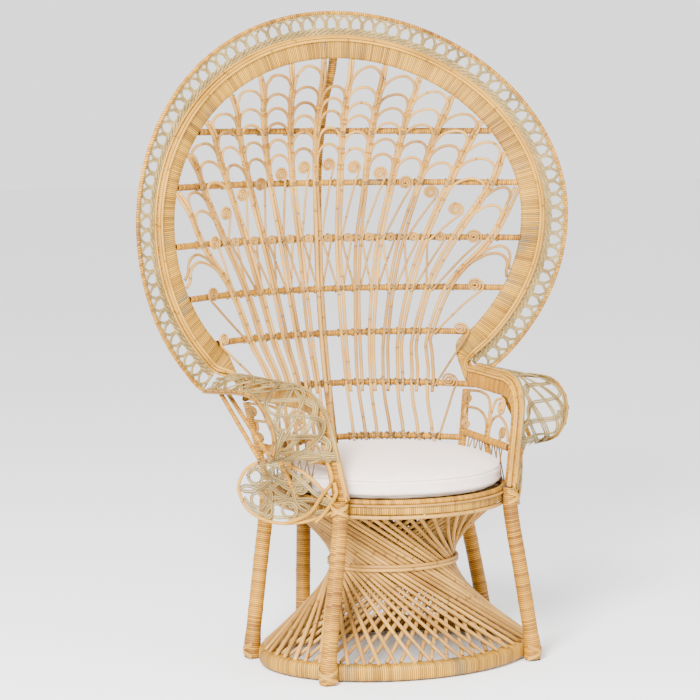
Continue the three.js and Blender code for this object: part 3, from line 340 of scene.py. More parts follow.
# Base ring: a flat oval hoop that the chair stands on, a bundle of rods under cane strand
# wound over its whole height, with many grey stained turns.
chair_middle = np.array([0.0, -0.093226, 0.0])
base_half = np.array([0.332, 0.248])
base_ring_low, base_ring_high, base_ring_deep = 0.003, 0.039, 0.038


def unit(vectors):
    return vectors / np.maximum(np.linalg.norm(vectors, axis=-1, keepdims=True), 1e-9)


def oval(half, centre_y, z, angle, outset):
    """Points round an oval, moved out square to it, and the outward directions there."""
    angle = np.asarray(angle, float)
    out_way = unit(np.stack([np.cos(angle) / half[0], np.sin(angle) / half[1], 0 * angle], -1))
    line = np.stack([half[0] * np.cos(angle), centre_y + half[1] * np.sin(angle), 0 * angle + z], -1)
    return line + out_way * outset + chair_middle, out_way


round_trip = np.linspace(0, 2 * np.pi, 240, endpoint=False) + np.pi / 2
upright = np.tile([0.0, 0.0, 1.0], (240, 1))
line, out_way = oval(base_half, 0, (base_ring_low + base_ring_high) / 2, round_trip, -base_ring_deep / 2)
add_wound("base_ring", [wind(line, upright, out_way, (base_ring_high - base_ring_low) / 2, base_ring_deep / 2,
                             pitch=0.0046, ridge=0.0007, sides=22, square=3.2, closed=True, seed=3)], stained_cane)

# Legs: six thick rods wound with strand, which stand outside both hoops, thicker at the foot,
# with a low swelling at each growth joint.
seat_half = np.array([0.273, 0.255])
seat_centre, seat_top, low_seat_height = 0.032, 0.405, 0.3604
leg_turns = {"front": -6, "side": 4, "back": 10}
leg_joints = {"front": (0.34, 0.62), "side": (0.27, 0.55, 0.8), "back": (0.4, 0.72)}
leg_foot_radius, leg_radius, leg_sides = 0.020, 0.018, 10
wound_foot_radius, wound_leg_radius = 0.0194, 0.0172
joint_swell, joint_share = 0.0008, 0.012
flat_side = math.cos(math.pi / leg_sides)
gap = 0.0003


def curve_through(points, per_span=12):
    """Points of a smooth line through the given ones, per_span steps from one to the next."""
    p = np.asarray(points, float)
    n = len(p)
    p = np.vstack([2 * p[0] - p[1], p, 2 * p[-1] - p[-2]])
    p0, p1, p2, p3 = p[:-3], p[1:-2], p[2:-1], p[3:]
    d0, d1, d2 = (np.maximum(np.linalg.norm(b - a, axis=1), 1e-7)[:, None] ** 0.5
                  for a, b in ((p0, p1), (p1, p2), (p2, p3)))
    t1 = ((p1 - p0) / d0 - (p2 - p0) / (d0 + d1) + (p2 - p1) / d1) * d1
    t2 = ((p2 - p1) / d1 - (p3 - p1) / (d1 + d2) + (p3 - p2) / d2) * d1
    t = (np.arange(per_span) / per_span)[None, :, None]
    p1, p2, t1, t2 = (a[:, None, :] for a in (p1, p2, t1, t2))
    line = p1 + t1 * t + (3 * (p2 - p1) - 2 * t1 - t2) * t ** 2 + (2 * (p1 - p2) + t1 + t2) * t ** 3
    return np.vstack([line.reshape(-1, 3), p[n:n + 1]])


def evenly(line, step, *others):
    """The line, and what goes with its points, at even steps."""
    run = run_of(line)
    at = np.linspace(0, run[-1], max(2, int(round(run[-1] / step)) + 1))
    drawn = drawn_at(at, run, line, *others)
    return drawn if others else drawn[0]


def headings(line, closed=False):
    if closed:
        return unit(np.roll(line, -1, 0) - np.roll(line, 1, 0))
    return unit(np.gradient(line, axis=0))


def carried_frame(line, start):
    """Two directions square to a line, carried along it without twist."""
    along = headings(line)
    across = np.empty_like(line)
    side = np.asarray(start, float)
    for i, direction in enumerate(along):
        side = side - direction * side.dot(direction)
        side = side / np.linalg.norm(side)
        across[i] = side
    return across, np.cross(along, across)


def leg_places(step):
    """Knee over the base ring, head at the seat and outward direction of one leg."""
    angle = 2 * math.pi * step / 52
    head, out_way = oval(seat_half, seat_centre, seat_top, angle, leg_radius * flat_side + gap)
    knee, _ = oval(base_half, 0, base_ring_high, angle, leg_foot_radius * flat_side + gap)
    return knee, head, unit(np.array([math.cos(angle) / base_half[0], math.sin(angle) / base_half[1], 0]))


def mirror(shell):
    verts, quads, uv, caps, luck = shell
    return [verts * [-1, 1, 1], quads[:, ::-1], uv[:, ::-1], [c[::-1] for c in caps], luck]


def both_sides(*bundles):
    """Bundles of shells for the right side, and their mirror images for the left."""
    yield "right", *bundles
    yield "left", *([mirror(shell) for shell in bundle] for bundle in bundles)


for place_name, step in leg_turns.items():
    knee, head, out_way = leg_places(step)
    low_seat = np.array([head[0], head[1], low_seat_height])
    bends = np.array([[knee[0], knee[1], 0.0008], knee - [0, 0, 0.008], knee * 0.93 + low_seat * 0.07,
                      knee * 0.5 + low_seat * 0.5, low_seat, head])
    line = evenly(curve_through(bends, 20), 0.002)
    share = run_of(line) / run_of(line)[-1]
    radius = np.interp(share, [0.1, 0.16], [wound_foot_radius, wound_leg_radius])
    for at in leg_joints[place_name]:
        radius = radius + joint_swell * np.exp(-((share - at) / joint_share) ** 2)
    leg = wind(line, *carried_frame(line, np.cross([0, 0, 1.0], out_way)), radius, radius,
               pitch=0.0046, ridge=0.0006, sides=22, seed=11 + step)
    for side_name, shells in both_sides([leg]):
        add_wound(f"leg_{place_name}_{side_name}", shells)

# Skirt: two layers of straight peeled rods that cross as an hourglass between the hoops;
# each rod is nailed at foot and head and lies against its neighbours at the waist.
skirt_rods_per_layer, skirt_rod_radius = 54, 0.0046
layer_depth = 0.020
apron_high, apron_low = 0.3917, 0.3697
waist_half, shoulder_half = np.array([0.147, 0.112]), np.array([0.182, 0.152])
head_inset, foot_inset = 0.016, 0.011
skirt_low, skirt_high = base_ring_high + gap, apron_low - gap
waist_height = skirt_low + 0.57 * (skirt_high - skirt_low)
joint_brown = (0.05, 0.015, 0.004, 1)


def along_cane(paint):
    """Length run, share round the section, the cane's own chance, and the place on the chair."""
    length, side, _ = paint.marks("run")
    return length, side, paint.node("ShaderNodeAttribute", {"attribute_name": "luck"}).outputs["Fac"], paint.place()


paint, given, out = new_group("peeled_rod", Light=(0.50, 0.265, 0.055, 1), Deep=(0.155, 0.062, 0.007, 1),
                              Joint=joint_brown, Spacing=0.21)
length, side, chance, place = along_cane(paint)
patch = paint.noise(place, 9.0, 2.0)
grain_at = paint.vector(paint.times(length, 14.0), paint.times(side, 7.0), paint.times(chance, 40.0))
grain = paint.noise(grain_at, 1.0, 4.0, Roughness=0.65)
tone = paint.plus(paint.times(chance, 0.5), paint.times(grain, 0.6))
tone = paint.plus(tone, paint.less(patch, 0.6), clamp=True)
colour = paint.mix(tone, given["Light"], given["Deep"])
joint_at = paint.plus(paint.math("DIVIDE", length, given["Spacing"]), paint.times(chance, 7.3))
from_joint = paint.times(paint.math("ABSOLUTE", paint.less(paint.math("FRACT", joint_at), 0.5)), given["Spacing"])
collar = paint.ramp(from_joint, 0.001, 0.009, 1.0, 0.0)
colour = paint.mix(paint.times(collar, 0.25), colour, given["Deep"])
ring = paint.ramp(from_joint, 0.0005, 0.0022, 1.0, 0.0)
paint.put(paint.mix(paint.times(ring, 0.6), colour, given["Joint"]), out["Color"])
paint.put(paint.ramp(grain, 0.2, 0.8, 0.38, 0.6), out["Roughness"])
paint.put(paint.plus(grain, paint.times(collar, 1.5)), out["Height"])
rod_group = paint.tree
peeled_rod = new_finish("peeled_rod", rod_group, 0.0003)
golden_rod = new_finish("golden_rod", rod_group, 0.0003, Light=(0.56, 0.285, 0.03, 1), Deep=(0.17, 0.068, 0.004, 1))
brown_rod = new_finish("brown_rod", rod_group, 0.0003, Light=(0.36, 0.17, 0.012, 1), Deep=(0.09, 0.03, 0.002, 1),
                       Joint=(0.04, 0.012, 0.004, 1))


def sweep(line, across, deep, half_wide, half_deep=None, *, sides, luck, square=2.0, closed=False):
    """A smooth bar along a line; its first coordinate is the length run in metres."""
    n = len(line)
    cx, cs, _, _ = section_of(sides, square)
    half_deep = half_wide if half_deep is None else half_deep
    verts = line[:, None] + across[:, None] * (half_wide * cx)[:, None] + deep[:, None] * (half_deep * cs)[:, None]
    run = run_of(np.vstack([line, line[:1]]) if closed else line)
    i = np.arange(n if closed else n - 1)[:, None]
    j = np.arange(sides)
    here, side = i * sides + j, i * sides + (j + 1) % sides
    beyond, far = (i + 1) % n * sides + j, (i + 1) % n * sides + (j + 1) % sides
    quads = np.stack([here, side, far, beyond], -1).reshape(-1, 4)
    u0, u1 = (np.broadcast_to(run[k: len(i) + k, None], here.shape) for k in (0, 1))
    v0 = np.broadcast_to(j / sides, here.shape)
    uv = corner_marks(u0, u1, v0, v0 + 1 / sides).reshape(-1, 4, 2)
    caps = [] if closed else [list(range(sides)), list(range((n - 1) * sides, n * sides))]
    return turned_out(verts.reshape(-1, 3), quads, uv, caps, across, deep, line, luck)


def meet_oval(start, way, half, centre_y):
    """Where a straight line from inside an oval meets it."""
    p = np.array([start[0] / half[0], (start[1] - centre_y) / half[1]])
    d = np.array([way[0] / half[0], way[1] / half[1]])
    a, b, c = d.dot(d), p.dot(d), p.dot(p) - 1
    return start + way * (-b + math.sqrt(b * b - a * c)) / a


def skirt_rod_points(angle, inset, direction):
    """Foot, waist, shoulder and head of one rod."""
    half = waist_half - inset
    waist = oval(half, seat_centre / 2, waist_height, angle, 0)[0] - chair_middle
    way = unit(np.array([-half[0] * math.sin(angle), half[1] * math.cos(angle), 0])) * direction
    head = meet_oval(waist, way, seat_half - head_inset - inset, seat_centre)
    foot = meet_oval(waist, -way, base_half - foot_inset - inset, 0)
    foot[2], head[2] = skirt_low, skirt_high
    shoulder = (waist + head) / 2
    half = shoulder_half - inset
    middle_y = seat_centre * 0.75
    reach = math.hypot(shoulder[0] / half[0], (shoulder[1] - middle_y) / half[1])
    shoulder[:2] = [shoulder[0] / reach, middle_y + (shoulder[1] - middle_y) / reach]
    return np.array([foot, waist, shoulder, head]) + chair_middle


for layer, inset, direction, seed in (("outer", 0.0, -1, 5), ("inner", layer_depth, 1, 6)):
    dice = np.random.RandomState(seed)
    shells = []
    for i in range(skirt_rods_per_layer):
        angle = 2 * np.pi * (i + dice.uniform(-0.12, 0.12)) / skirt_rods_per_layer
        line = evenly(curve_through(skirt_rod_points(angle, inset, direction), 10), 0.012)
        thick = skirt_rod_radius * (1 + dice.uniform(-0.1, 0.06))
        shells.append(sweep(line, *carried_frame(line, [0.3, 0.4, 1.0]), thick, sides=9, luck=dice.uniform(0, 1)))
    add_piece(f"skirt_rods_{layer}", shells, peeled_rod, [f"skirt_{layer}"])

# Waist: two bare bent rods, one on the other, that lie round the skirt where it is narrowest
# and bind it there.
waist_radius, waist_lift, waist_outset, waist_points = 0.004, 0.00395, 0.0085, 96
for name, lift, luck in (("lower", -waist_lift, 0.2), ("upper", waist_lift, 0.7)):
    line = []
    for angle in np.linspace(0, 2 * np.pi, waist_points, endpoint=False):
        points = skirt_rod_points(angle, 0.0, -1)
        far = points[2] if lift > 0 else points[0]
        share = lift / (far[2] - points[1][2])
        line.append(points[1] * (1 - share) + far * share)
    line = np.array(line)
    out_way = unit(np.cross(headings(line, True), [0, 0, 1.0]))
    out_way *= np.sign((out_way * (line - line.mean(0))).sum(1, keepdims=True))
    add_piece(f"waist_rod_{name}_bent", [sweep(line + out_way * waist_outset, out_way, upright[:waist_points],
                                               waist_radius, sides=12, closed=True, luck=luck)],
              peeled_rod, [f"waist_rod_{name}"])

# Seat: a wound rod on a wound apron over a thin rod, all bent to the same oval, with a deck
# of flat straps woven across inside the upper rod.
speck_brown = (0.06, 0.022, 0.006, 1)
deck_height, strap_pitch, strap_half, strap_thick, strap_wave = 0.3975, 0.034, 0.0125, 0.001, 0.0014
deck_half, deck_room, strap_points = seat_half - 0.0136, 0.016, 60
seat_rod_radius, seat_rod_set = 0.0062, 0.0065
apron_half_high, apron_half_deep, apron_set = 0.0107, 0.0208, 0.0218
# height, outset, radius, CAD node and chance of the two bare hoops
bare_hoops = {"lower": (0.3649, -0.0045, 0.0044, ["seat_rod_lower"], 0.3), "edge": (0.3915, 0.0012, 0.0028, [], 0.6)}
line, out_way = oval(seat_half, seat_centre, seat_top - seat_rod_set, round_trip, -seat_rod_set)
add_wound("seat_rod_upper", [wind(line, upright, out_way, seat_rod_radius, seat_rod_radius, pitch=0.0044,
                                  ridge=0.0004, sides=14, closed=True, seed=21)])
line, out_way = oval(seat_half, seat_centre, (apron_high + apron_low) / 2, round_trip, -apron_set)
add_wound("seat_apron", [wind(line, upright, out_way, apron_half_high, apron_half_deep, pitch=0.0044, ridge=0.0006,
                              sides=22, square=5.0, closed=True, seed=22)], stained_cane)
for name, (z, outset, radius, nodes, luck) in bare_hoops.items():
    line, out_way = oval(seat_half, seat_centre, z, round_trip, outset)
    add_piece(f"seat_rod_{name}_bent", [sweep(line, out_way, upright, radius, sides=12, closed=True, luck=luck)],
              peeled_rod, nodes)

paint, given, out = new_group("split_cane", Light=(0.37, 0.255, 0.085, 1), Deep=(0.09, 0.052, 0.011, 1),
                              Speck=speck_brown)
length, side, chance, place = along_cane(paint)
patch, speck = paint.noise(place, 16.0, 2.0), paint.noise(place, 160.0, 1.0)
fibre_at = paint.vector(paint.times(length, 20.0), paint.times(side, 26.0), paint.times(chance, 40.0))
fibre = paint.noise(fibre_at, 1.0, 3.0)
tone = paint.plus(paint.times(chance, 0.4), paint.times(fibre, 0.7))
tone = paint.plus(tone, paint.times(paint.less(patch, 0.55), 1.2), clamp=True)
colour = paint.mix(tone, given["Light"], given["Deep"])
paint.put(paint.mix(paint.ramp(speck, 0.66, 0.78, 0.0, 0.6), colour, given["Speck"]), out["Color"])
paint.put(paint.ramp(fibre, 0.2, 0.8, 0.45, 0.68), out["Roughness"])
paint.put(fibre, out["Height"])
split_cane = new_finish("split_cane", paint.tree, 0.0003)
pale_lashing = new_finish("pale_lashing", paint.tree, 0.0003, Light=(0.60, 0.31, 0.04, 1),
                          Deep=(0.19, 0.08, 0.01, 1))
lashing_cane = new_finish("lashing_cane", paint.tree, 0.0003, Light=(0.34, 0.185, 0.045, 1),
                          Deep=(0.07, 0.035, 0.012, 1), Speck=(0.04, 0.02, 0.008, 1))
shells = []
dice = np.random.RandomState(31)
for axis in (0, 1):
    other = 1 - axis
    count = int(deck_half[other] // strap_pitch)
    for i in range(-count, count + 1):
        off = i * strap_pitch
        if abs(off) > deck_half[other] - deck_room:
            continue
        reach = deck_half[axis] * math.sqrt(1 - (abs(off) + strap_half) ** 2 / deck_half[other] ** 2)
        t = np.linspace(-reach, reach, strap_points)
        line, across = np.zeros((2, strap_points, 3))
        line[:, axis], line[:, other], across[:, other] = t, off, 1
        line[:, 1] += seat_centre
        weave = np.cos(np.pi * t / strap_pitch) * (1 if (i + axis) % 2 else -1)
        line[:, 2] = deck_height + strap_wave * weave
        shells.append(sweep(line + chair_middle, across, upright[:strap_points], strap_half, strap_thick, sides=8,
                            square=3.5, luck=dice.uniform(0, 1)))
add_piece("seat_deck_woven", shells, split_cane, ["seat_deck"])

# Cushion: a boxed oval pad of pale cotton, crowned and soft, with a seam round the top and the
# bottom of its side band, pressed in and painted with a thin line of shade. It is blown up by a short cloth
# simulation.
cushion_half = np.array([0.254, 0.236])
seat_rod_thick, deck_thick = 0.013, 0.010
cushion_low = seat_top - seat_rod_thick + deck_thick + gap
cushion_crown, cushion_swell, cushion_squeeze, cushion_shrink = 0.037, 0.015, 0.2575, 0.002
post_face_x, post_face_y, post_lean = 0.2163, -0.12, 0.13
cushion_profile = ((-0.16, 0.0), (-0.05, 0.0), (-0.009, 0.0), (-0.003, 0.003), (0, 0.009), (-0.002, 0.016),
                   (-0.003, 0.023), (-0.002, 0.031), (0, 0.039), (-0.003, 0.046), (-0.009, 0.0495))
crown_shares = (0.93, 0.83, 0.68, 0.5, 0.3, 0.12)
grid, blow_steps, blow_limit = 0.005, 20, 0.005
seam_heights, seam_reach, seam_depth, pucker_depth = (0.0085, 0.0415), 0.0032, 0.0022, 0.0004
# half width and colour of the painted shade line along each seam
seam_shade_half_wide, seam_shade_brown = 0.0013, (0.36, 0.27, 0.22, 1)


def cushion_shape():
    """The pad before it is blown up: round its side, pressed in by the arms, and over its crown."""
    rows = []
    angle = np.linspace(0, 2 * np.pi, 96, endpoint=False)
    for outset, z in cushion_profile:
        swell = cushion_swell * min(1, z / 0.012) * (1 - 0.5 * np.clip(np.sin(angle), 0, 1))
        row = oval(cushion_half, seat_centre, cushion_low + z, angle, (outset - cushion_shrink + swell)[:, None])[0]
        row[:, 0] = np.clip(row[:, 0], -cushion_squeeze, cushion_squeeze)
        y = row[:, 1] - chair_middle[1]
        beside = post_face_x + post_lean * (y - post_face_y) + np.clip(y + 0.085, 0, 1) * 2
        row[:, 0] = np.clip(row[:, 0], -beside, beside)
        rows.append(row)
    edge = rows[-1]
    middle = edge.mean(0)
    for share in crown_shares:
        row = middle + (edge - middle) * share
        row[:, 2] += (cushion_crown - 2 * cushion_shrink) * (1 - share ** 3.0)
        rows.append(row)
    n = len(angle)
    faces = [[r * n + j, r * n + (j + 1) % n, (r + 1) * n + (j + 1) % n, (r + 1) * n + j]
             for r in range(len(rows) - 1) for j in range(n)]
    faces += [list(range(n))[::-1], [(len(rows) - 1) * n + j for j in range(n)]]
    mesh = bpy.data.meshes.new("cushion_cover")
    mesh.from_pydata([tuple(v) for v in np.concatenate(rows)], [], faces)
    return mesh


cushion = bpy.data.objects.new("cushion_cover", cushion_shape())
bpy.context.scene.collection.objects.link(cushion)
bpy.context.view_layer.objects.active = cushion
cushion.select_set(True)
cushion.data.remesh_voxel_size = grid
bpy.ops.object.voxel_remesh()
start = np.array([v.co for v in cushion.data.vertices])
cloth = cushion.modifiers.new("cloth", "CLOTH")
cloth.settings.use_pressure = True
cloth.settings.uniform_pressure_force = 4
cloth.settings.effector_weights.gravity = 0
cloth.settings.mass = 0.3
scene = bpy.context.scene
for number in range(1, blow_steps + 1):
    scene.frame_set(number)
settled = cushion.evaluated_get(bpy.context.evaluated_depsgraph_get())
moved = np.array([v.co for v in settled.data.vertices]) - start
cushion.modifiers.clear()
moved *= np.minimum(1, blow_limit / np.maximum(np.linalg.norm(moved, axis=1, keepdims=True), 1e-6))
final = start + moved
final[:, 2] = np.maximum(final[:, 2], cushion_low)
cushion.data.vertices.foreach_set("co", final.astype(np.float32).ravel())
scene.frame_set(1)
smoother = cushion.modifiers.new("smoother", "SUBSURF")
smoother.levels = smoother.render_levels = 1
bpy.ops.object.modifier_apply(modifier="smoother")
co = np.array([v.co for v in cushion.data.vertices])
x, y, z = (co - chair_middle - [0, seat_centre, cushion_low]).T
angle = np.arctan2(y / cushion_half[1], x / cushion_half[0])
inward = -unit(np.stack([x, y, 0 * x], 1))
reach = np.hypot(x / (cushion_half[0] + 0.006), y / (cushion_half[1] + cushion_swell))
side_share = np.clip((reach - 0.9) / 0.06, 0, 1)
seam = sum(np.exp(-((z - height) / seam_reach) ** 2) for height in seam_heights)
pucker = 0.5 + 0.5 * np.sin(angle * 90)
dents = np.sin(angle * 7 + 1.3) * 0.0012 + np.sin(angle * 13 + 0.4) * 0.0008
co += inward * (((seam_depth + pucker_depth * pucker) * seam + dents) * side_share)[:, None]
top_share = np.clip((z - 0.044) / 0.01, 0, 1)
co[:, 2] += top_share * 0.0012 * np.sin(x * 23 + 0.8) * np.sin(y * 19 + 0.3)
co[:, 2] = np.maximum(co[:, 2], cushion_low)
cushion.data.vertices.foreach_set("co", co.astype(np.float32).ravel())
cushion.data.update()
cushion.data.shade_smooth()
cotton = bpy.data.materials.new("pale_cotton")
cotton.use_nodes = True
paint = Paint(cotton.node_tree)
shader = cotton.node_tree.nodes["Principled BSDF"]
place = paint.place()
slub = paint.noise(place, 42.0, 4.0)
turned = paint.split(place)
threads = [paint.math("SINE", paint.times(turned[k], 5200.0)) for k in range(3)]
weave = paint.plus(paint.times(threads[0], threads[1]), paint.times(threads[2], 0.5))
tone = paint.plus(paint.times(slub, 0.9), paint.times(weave, 0.06), clamp=True)
colour = paint.mix(tone, (0.80, 0.67, 0.585, 1), (0.70, 0.57, 0.485, 1))
# Painted shade: a thin darker line at each seam's height, where the cover is pressed in.
for height in seam_heights:
    from_seam = paint.math("ABSOLUTE", paint.less(turned[2], cushion_low + height))
    share = paint.less(1.0, paint.math("DIVIDE", from_seam, seam_shade_half_wide), clamp=True)
    colour = paint.mix(share, colour, seam_shade_brown)
relief = paint.node("ShaderNodeBump", Strength=0.35, Distance=0.0003, Height=paint.plus(weave, paint.times(slub, 2.0)))
paint.put(colour, shader.inputs["Base Color"])
paint.put(relief.outputs[0], shader.inputs["Normal"])
shader.inputs["Roughness"].default_value = 0.88
shader.inputs["Specular IOR Level"].default_value = 0.2
shader.inputs["Sheen Weight"].default_value = 0.25
cushion.data.materials.clear()
cushion.data.materials.append(cotton)
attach(cushion, "root")
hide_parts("cushion")

# Fan band: one broad flat bar that rises from the left front leg as the arm, bows round the
# whole fan and comes down again, wound across with strand.
fan_half, fan_middle, fan_rise, fan_drop = 0.509, 1.005, 0.431, 0.468
fan_end, fan_steps = math.radians(138), 38
band_wide, band_thick, arm_band_wide = 0.051, 0.015, 0.045
back_top_y, fan_bow = 0.310, 0.109
arm_top_x, arm_toe, arm_lean, arm_top = 0.276, 0.13, 0.17, 0.642
arm_elbow_y, arm_corner_y, arm_front_y, arm_foot_y, arm_corner_drop = 0.185, -0.045, -0.150, -0.169, 0.097
wing_low = 0.485
per_station, arm_count, strand_room = 16, 11, 0.0005


def fan_outline(angle, outset):
    angle = np.asarray(angle, float)
    reach = np.where(np.cos(angle) > 0, fan_rise, fan_drop)
    return (fan_half + outset) * np.sin(angle), fan_middle + (reach + outset) * np.cos(angle)


def arm_x(y, z):
    return arm_top_x + arm_toe * y - arm_lean * (arm_top - z)


def arm_point(y, z):
    return np.array([arm_x(y, z), y, z])


def arm_front_y_at(z):
    corner_z = arm_top - arm_corner_drop
    return arm_front_y + (z - corner_z) * (arm_foot_y - arm_front_y) / (seat_top - corner_z)


def arm_edge(inset):
    """One edge of the right arm's band, from the elbow over the corner down to the seat."""
    points = [arm_point(arm_elbow_y + (arm_corner_y - arm_elbow_y) * i / 5, arm_top - inset) for i in range(6)]
    corner_z = arm_top - arm_corner_drop
    for i in (1, 2, 3):
        turn = math.pi / 2 * i / 3
        points.append(arm_point(arm_corner_y - (arm_corner_y - arm_front_y - inset) * math.sin(turn),
                                corner_z + (arm_corner_drop - inset) * math.cos(turn)))
    for z in (wing_low, seat_top + gap):
        points.append(arm_point(arm_front_y_at(z) + inset, z))
    return np.array(points)


def band_edge(inset, arm_inset):
    """One edge of the whole band, from the left arm's foot round the fan to the right arm's."""
    right = arm_edge(arm_inset)
    x, z = fan_outline(np.linspace(-fan_end, fan_end, fan_steps + 1), -inset)
    fan = np.stack([x, back_top_y - fan_bow * (x / fan_half) ** 2, z], 1)
    return curve_through(np.vstack([right[::-1] * [-1, 1, 1], fan, right]), per_station) + chair_middle


outer_edge, inner_edge = band_edge(0, 0), band_edge(band_wide, arm_band_wide)
band_across = unit(outer_edge - inner_edge)
band_face = unit(np.cross(headings(outer_edge) + headings(inner_edge), band_across))
first_fan, last_fan = (arm_count - 1) * per_station, (arm_count + fan_steps + 1) * per_station
for name, low, high, seed, finish in (("fan_band", first_fan, last_fan + 1, 41, stained_cane),
                                      ("arm_band_left", 0, first_fan + 1, 42, wound_cane),
                                      ("arm_band_right", last_fan, len(outer_edge), 43, wound_cane)):
    outer, inner = outer_edge[low:high], inner_edge[low:high]
    line, across, face, reach = evenly((outer + inner) / 2, 0.003, band_across[low:high], band_face[low:high],
                                       np.linalg.norm(outer - inner, axis=1, keepdims=True) / 2)
    add_wound(name, [wind(line, unit(across), unit(face), reach[:, 0] - strand_room, band_thick / 2 - 0.0002,
                          pitch=0.0046, ridge=0.0007, sides=26, square=2.7, seed=seed)], finish)

# Piping: smooth bent rods that run along the whole band, over the fan and down both arms, one
# on its outer edge, one on its face and one between them.
piping_radius = 0.0032
for name, outset, lift, luck in (("edge", piping_radius, 0.0, 0.35), ("face", -0.0075, band_thick / 2 + 0.0022, 0.15),
                                 ("shoulder", -0.0008, band_thick / 2 + 0.0012, 0.5)):
    line = outer_edge + band_across * outset + band_face * lift
    line, across, face = evenly(line, 0.006, band_across, band_face)
    add_piece(f"piping_{name}_bent", [sweep(line, unit(across), unit(face), piping_radius, sides=12, luck=luck)],
              golden_rod, [] if name == "shoulder" else [f"piping_{name}"])

# Lace: a border of doubled flat canes round the fan. Each rises from a plaited edge, crosses
# its neighbour and ends under a plait at the rim, so that a chain of openings shows.
fan_low, fan_high = arm_count * per_station, (arm_count + fan_steps) * per_station
lace_links, lace_low, lace_high = 76, 0.0066, 0.0545
lace_twin, lace_half_wide, plait_half_wide, lace_half_thick = 0.0021, 0.0019, 0.0026, 0.0009
lace_run = run_of(outer_edge[fan_low:fan_high + 1])
link_run = lace_run[-1] / lace_links


def beside_fan(run, outset, lift):
    """Points out from the band's outer edge and forward of its face, at distances run along the fan."""
    places, across, face = drawn_at(np.clip(run, 0, lace_run[-1]), lace_run,
                                    *(a[fan_low:fan_high + 1] for a in (outer_edge, band_across, band_face)))
    across, face = unit(across), unit(face)
    return places + across * np.asarray(outset)[:, None] + face * np.asarray(lift)[:, None], across, face


def lace_cane(run, outset, lift, half_wide, luck, sides):
    line, _, face = beside_fan(run, outset, lift)
    along = headings(line)
    side = unit(np.cross(face, along))
    return sweep(line, side, unit(np.cross(along, side)), half_wide, lace_half_thick, sides=sides, square=3.0,
                 luck=luck)


shells = []
dice = np.random.RandomState(51)
t = np.linspace(0, 1, 26)
head_sway = np.clip((t - 0.55) / 0.45, 0, 1) ** 1.3
foot_sway = 0.75 * np.clip((0.4 - t) / 0.4, 0, 1) ** 1.2
for i in range(lace_links):
    for lean in (1, -1):
        run = (i + 0.06 * lean) * link_run + 0.5 * lean * link_run * (head_sway - foot_sway)
        outset = lace_low + 0.006 + (lace_high - lace_low - 0.007) * t
        for twin in (-lace_twin, lace_twin):
            shells.append(lace_cane(run + twin, outset, 0.0011 * lean * np.cos(np.pi * t * 1.2), lace_half_wide,
                                    dice.uniform(0, 1), 6))
add_piece("fan_lace_links", shells, split_cane, ["fan_lace"])
shells = []
run = np.linspace(0, lace_run[-1], lace_links * 16)
for outset, amplitude, start in ((lace_low + 0.0035, 0.0022, 0.0), (lace_low + 0.0105, 0.0026, 0.5),
                                 (lace_high - 0.002, 0.0022, 0.0)):
    for phase in (start, start + np.pi):
        angle = 2 * np.pi * run / link_run + phase
        shells.append(lace_cane(run, outset + amplitude * np.sin(angle), 0.0014 * np.cos(angle), plait_half_wide,
                                dice.uniform(0, 1), 8))
add_piece("fan_lace_plait", shells, split_cane)

# Rim rod: a thin bent rod wound with strand, which closes the lace round its outside. The
# plait over the heads of the lace's canes lies against it.
rim_outset, rim_radius, rim_points = 0.0575, 0.0042, 900
line, across, face = beside_fan(np.linspace(0, lace_run[-1], rim_points), np.full(rim_points, rim_outset),
                                np.zeros(rim_points))
add_wound("fan_rim", [wind(line, across, face, rim_radius, rim_radius, pitch=0.0058, ridge=0.0006, sides=12,
                           seed=61)])

# Rails and post: seven wound rails bowed across the fan, hollowed to the sitter's back, and
# a thicker wound post behind them.
dish_depth, dish_middle, dish_rise, dish_drop, dish_settle = 0.095, 1.060, 0.330, 0.600, 0.060
seat_bow, wrap_top = 0.144, 0.700
rail_low, rail_top, rail_radius = 0.472, 1.212, 0.0075
rail_heights = rail_low + np.array([0, 0.173, 0.335, 0.481, 0.647, 0.83, 1]) * (rail_top - rail_low)
post_radius, post_foot, post_bend = 0.010, 0.361, 0.39
post_behind = -(rail_radius + post_radius + 0.0022)
inner_half = fan_half - band_wide


def lying_on(line, square):
    """Two directions square to a line that lies on a surface with these normals."""
    along = headings(line)
    across = unit(np.cross(along, square))
    return across, unit(np.cross(along, across))


def band_reach(z):
    return np.where(z > fan_middle, fan_rise, fan_drop) - band_wide


def inside_band(x, z):
    """How far a place of the front view lies inside the band."""
    reach = band_reach(z)
    rise = (z - fan_middle) / reach
    upper = (1 - np.hypot(x / inner_half, rise)) * reach
    lower = inner_half * np.sqrt(np.clip(1 - rise ** 2, 0, None)) - np.abs(x)
    inside = np.where(z > fan_middle, upper, lower)
    return np.where(z < fan_middle + fan_drop * math.cos(fan_end), 1.0, inside)


def back_y(x, z):
    reach = np.where(z > dish_middle, dish_rise, dish_drop)
    hollow = dish_depth * np.maximum(0, 1 - ((z - dish_middle) / reach) ** 2)
    fade = np.sqrt(np.clip(inside_band(x, z) / dish_settle, 0, 1))
    dish = (hollow - dish_depth * (x / inner_half) ** 2) * fade
    upper = dish - fan_bow * (x / fan_half) ** 2
    lower = hollow - seat_bow * (x / arm_top_x) ** 2
    blend = np.clip((z - rail_heights[1]) / (wrap_top - rail_heights[1]), 0, 1)
    blend = blend * blend * (3 - 2 * blend)
    return back_top_y + lower + (upper - lower) * blend


def on_back(x, z, ahead=0.0):
    """Points on the hollowed filling, ahead of it square to its surface."""
    x, z, ahead = np.broadcast_arrays(np.asarray(x, float), np.asarray(z, float), ahead)
    step = rail_radius
    slope_x = (back_y(x + step, z) - back_y(x - step, z)) / (2 * step)
    slope_z = (back_y(x, z + step) - back_y(x, z - step)) / (2 * step)
    square = unit(np.stack([slope_x, -1 + 0 * x, slope_z], -1))
    return np.stack([x, back_y(x, z), z], -1) + square * ahead[..., None] + chair_middle, square


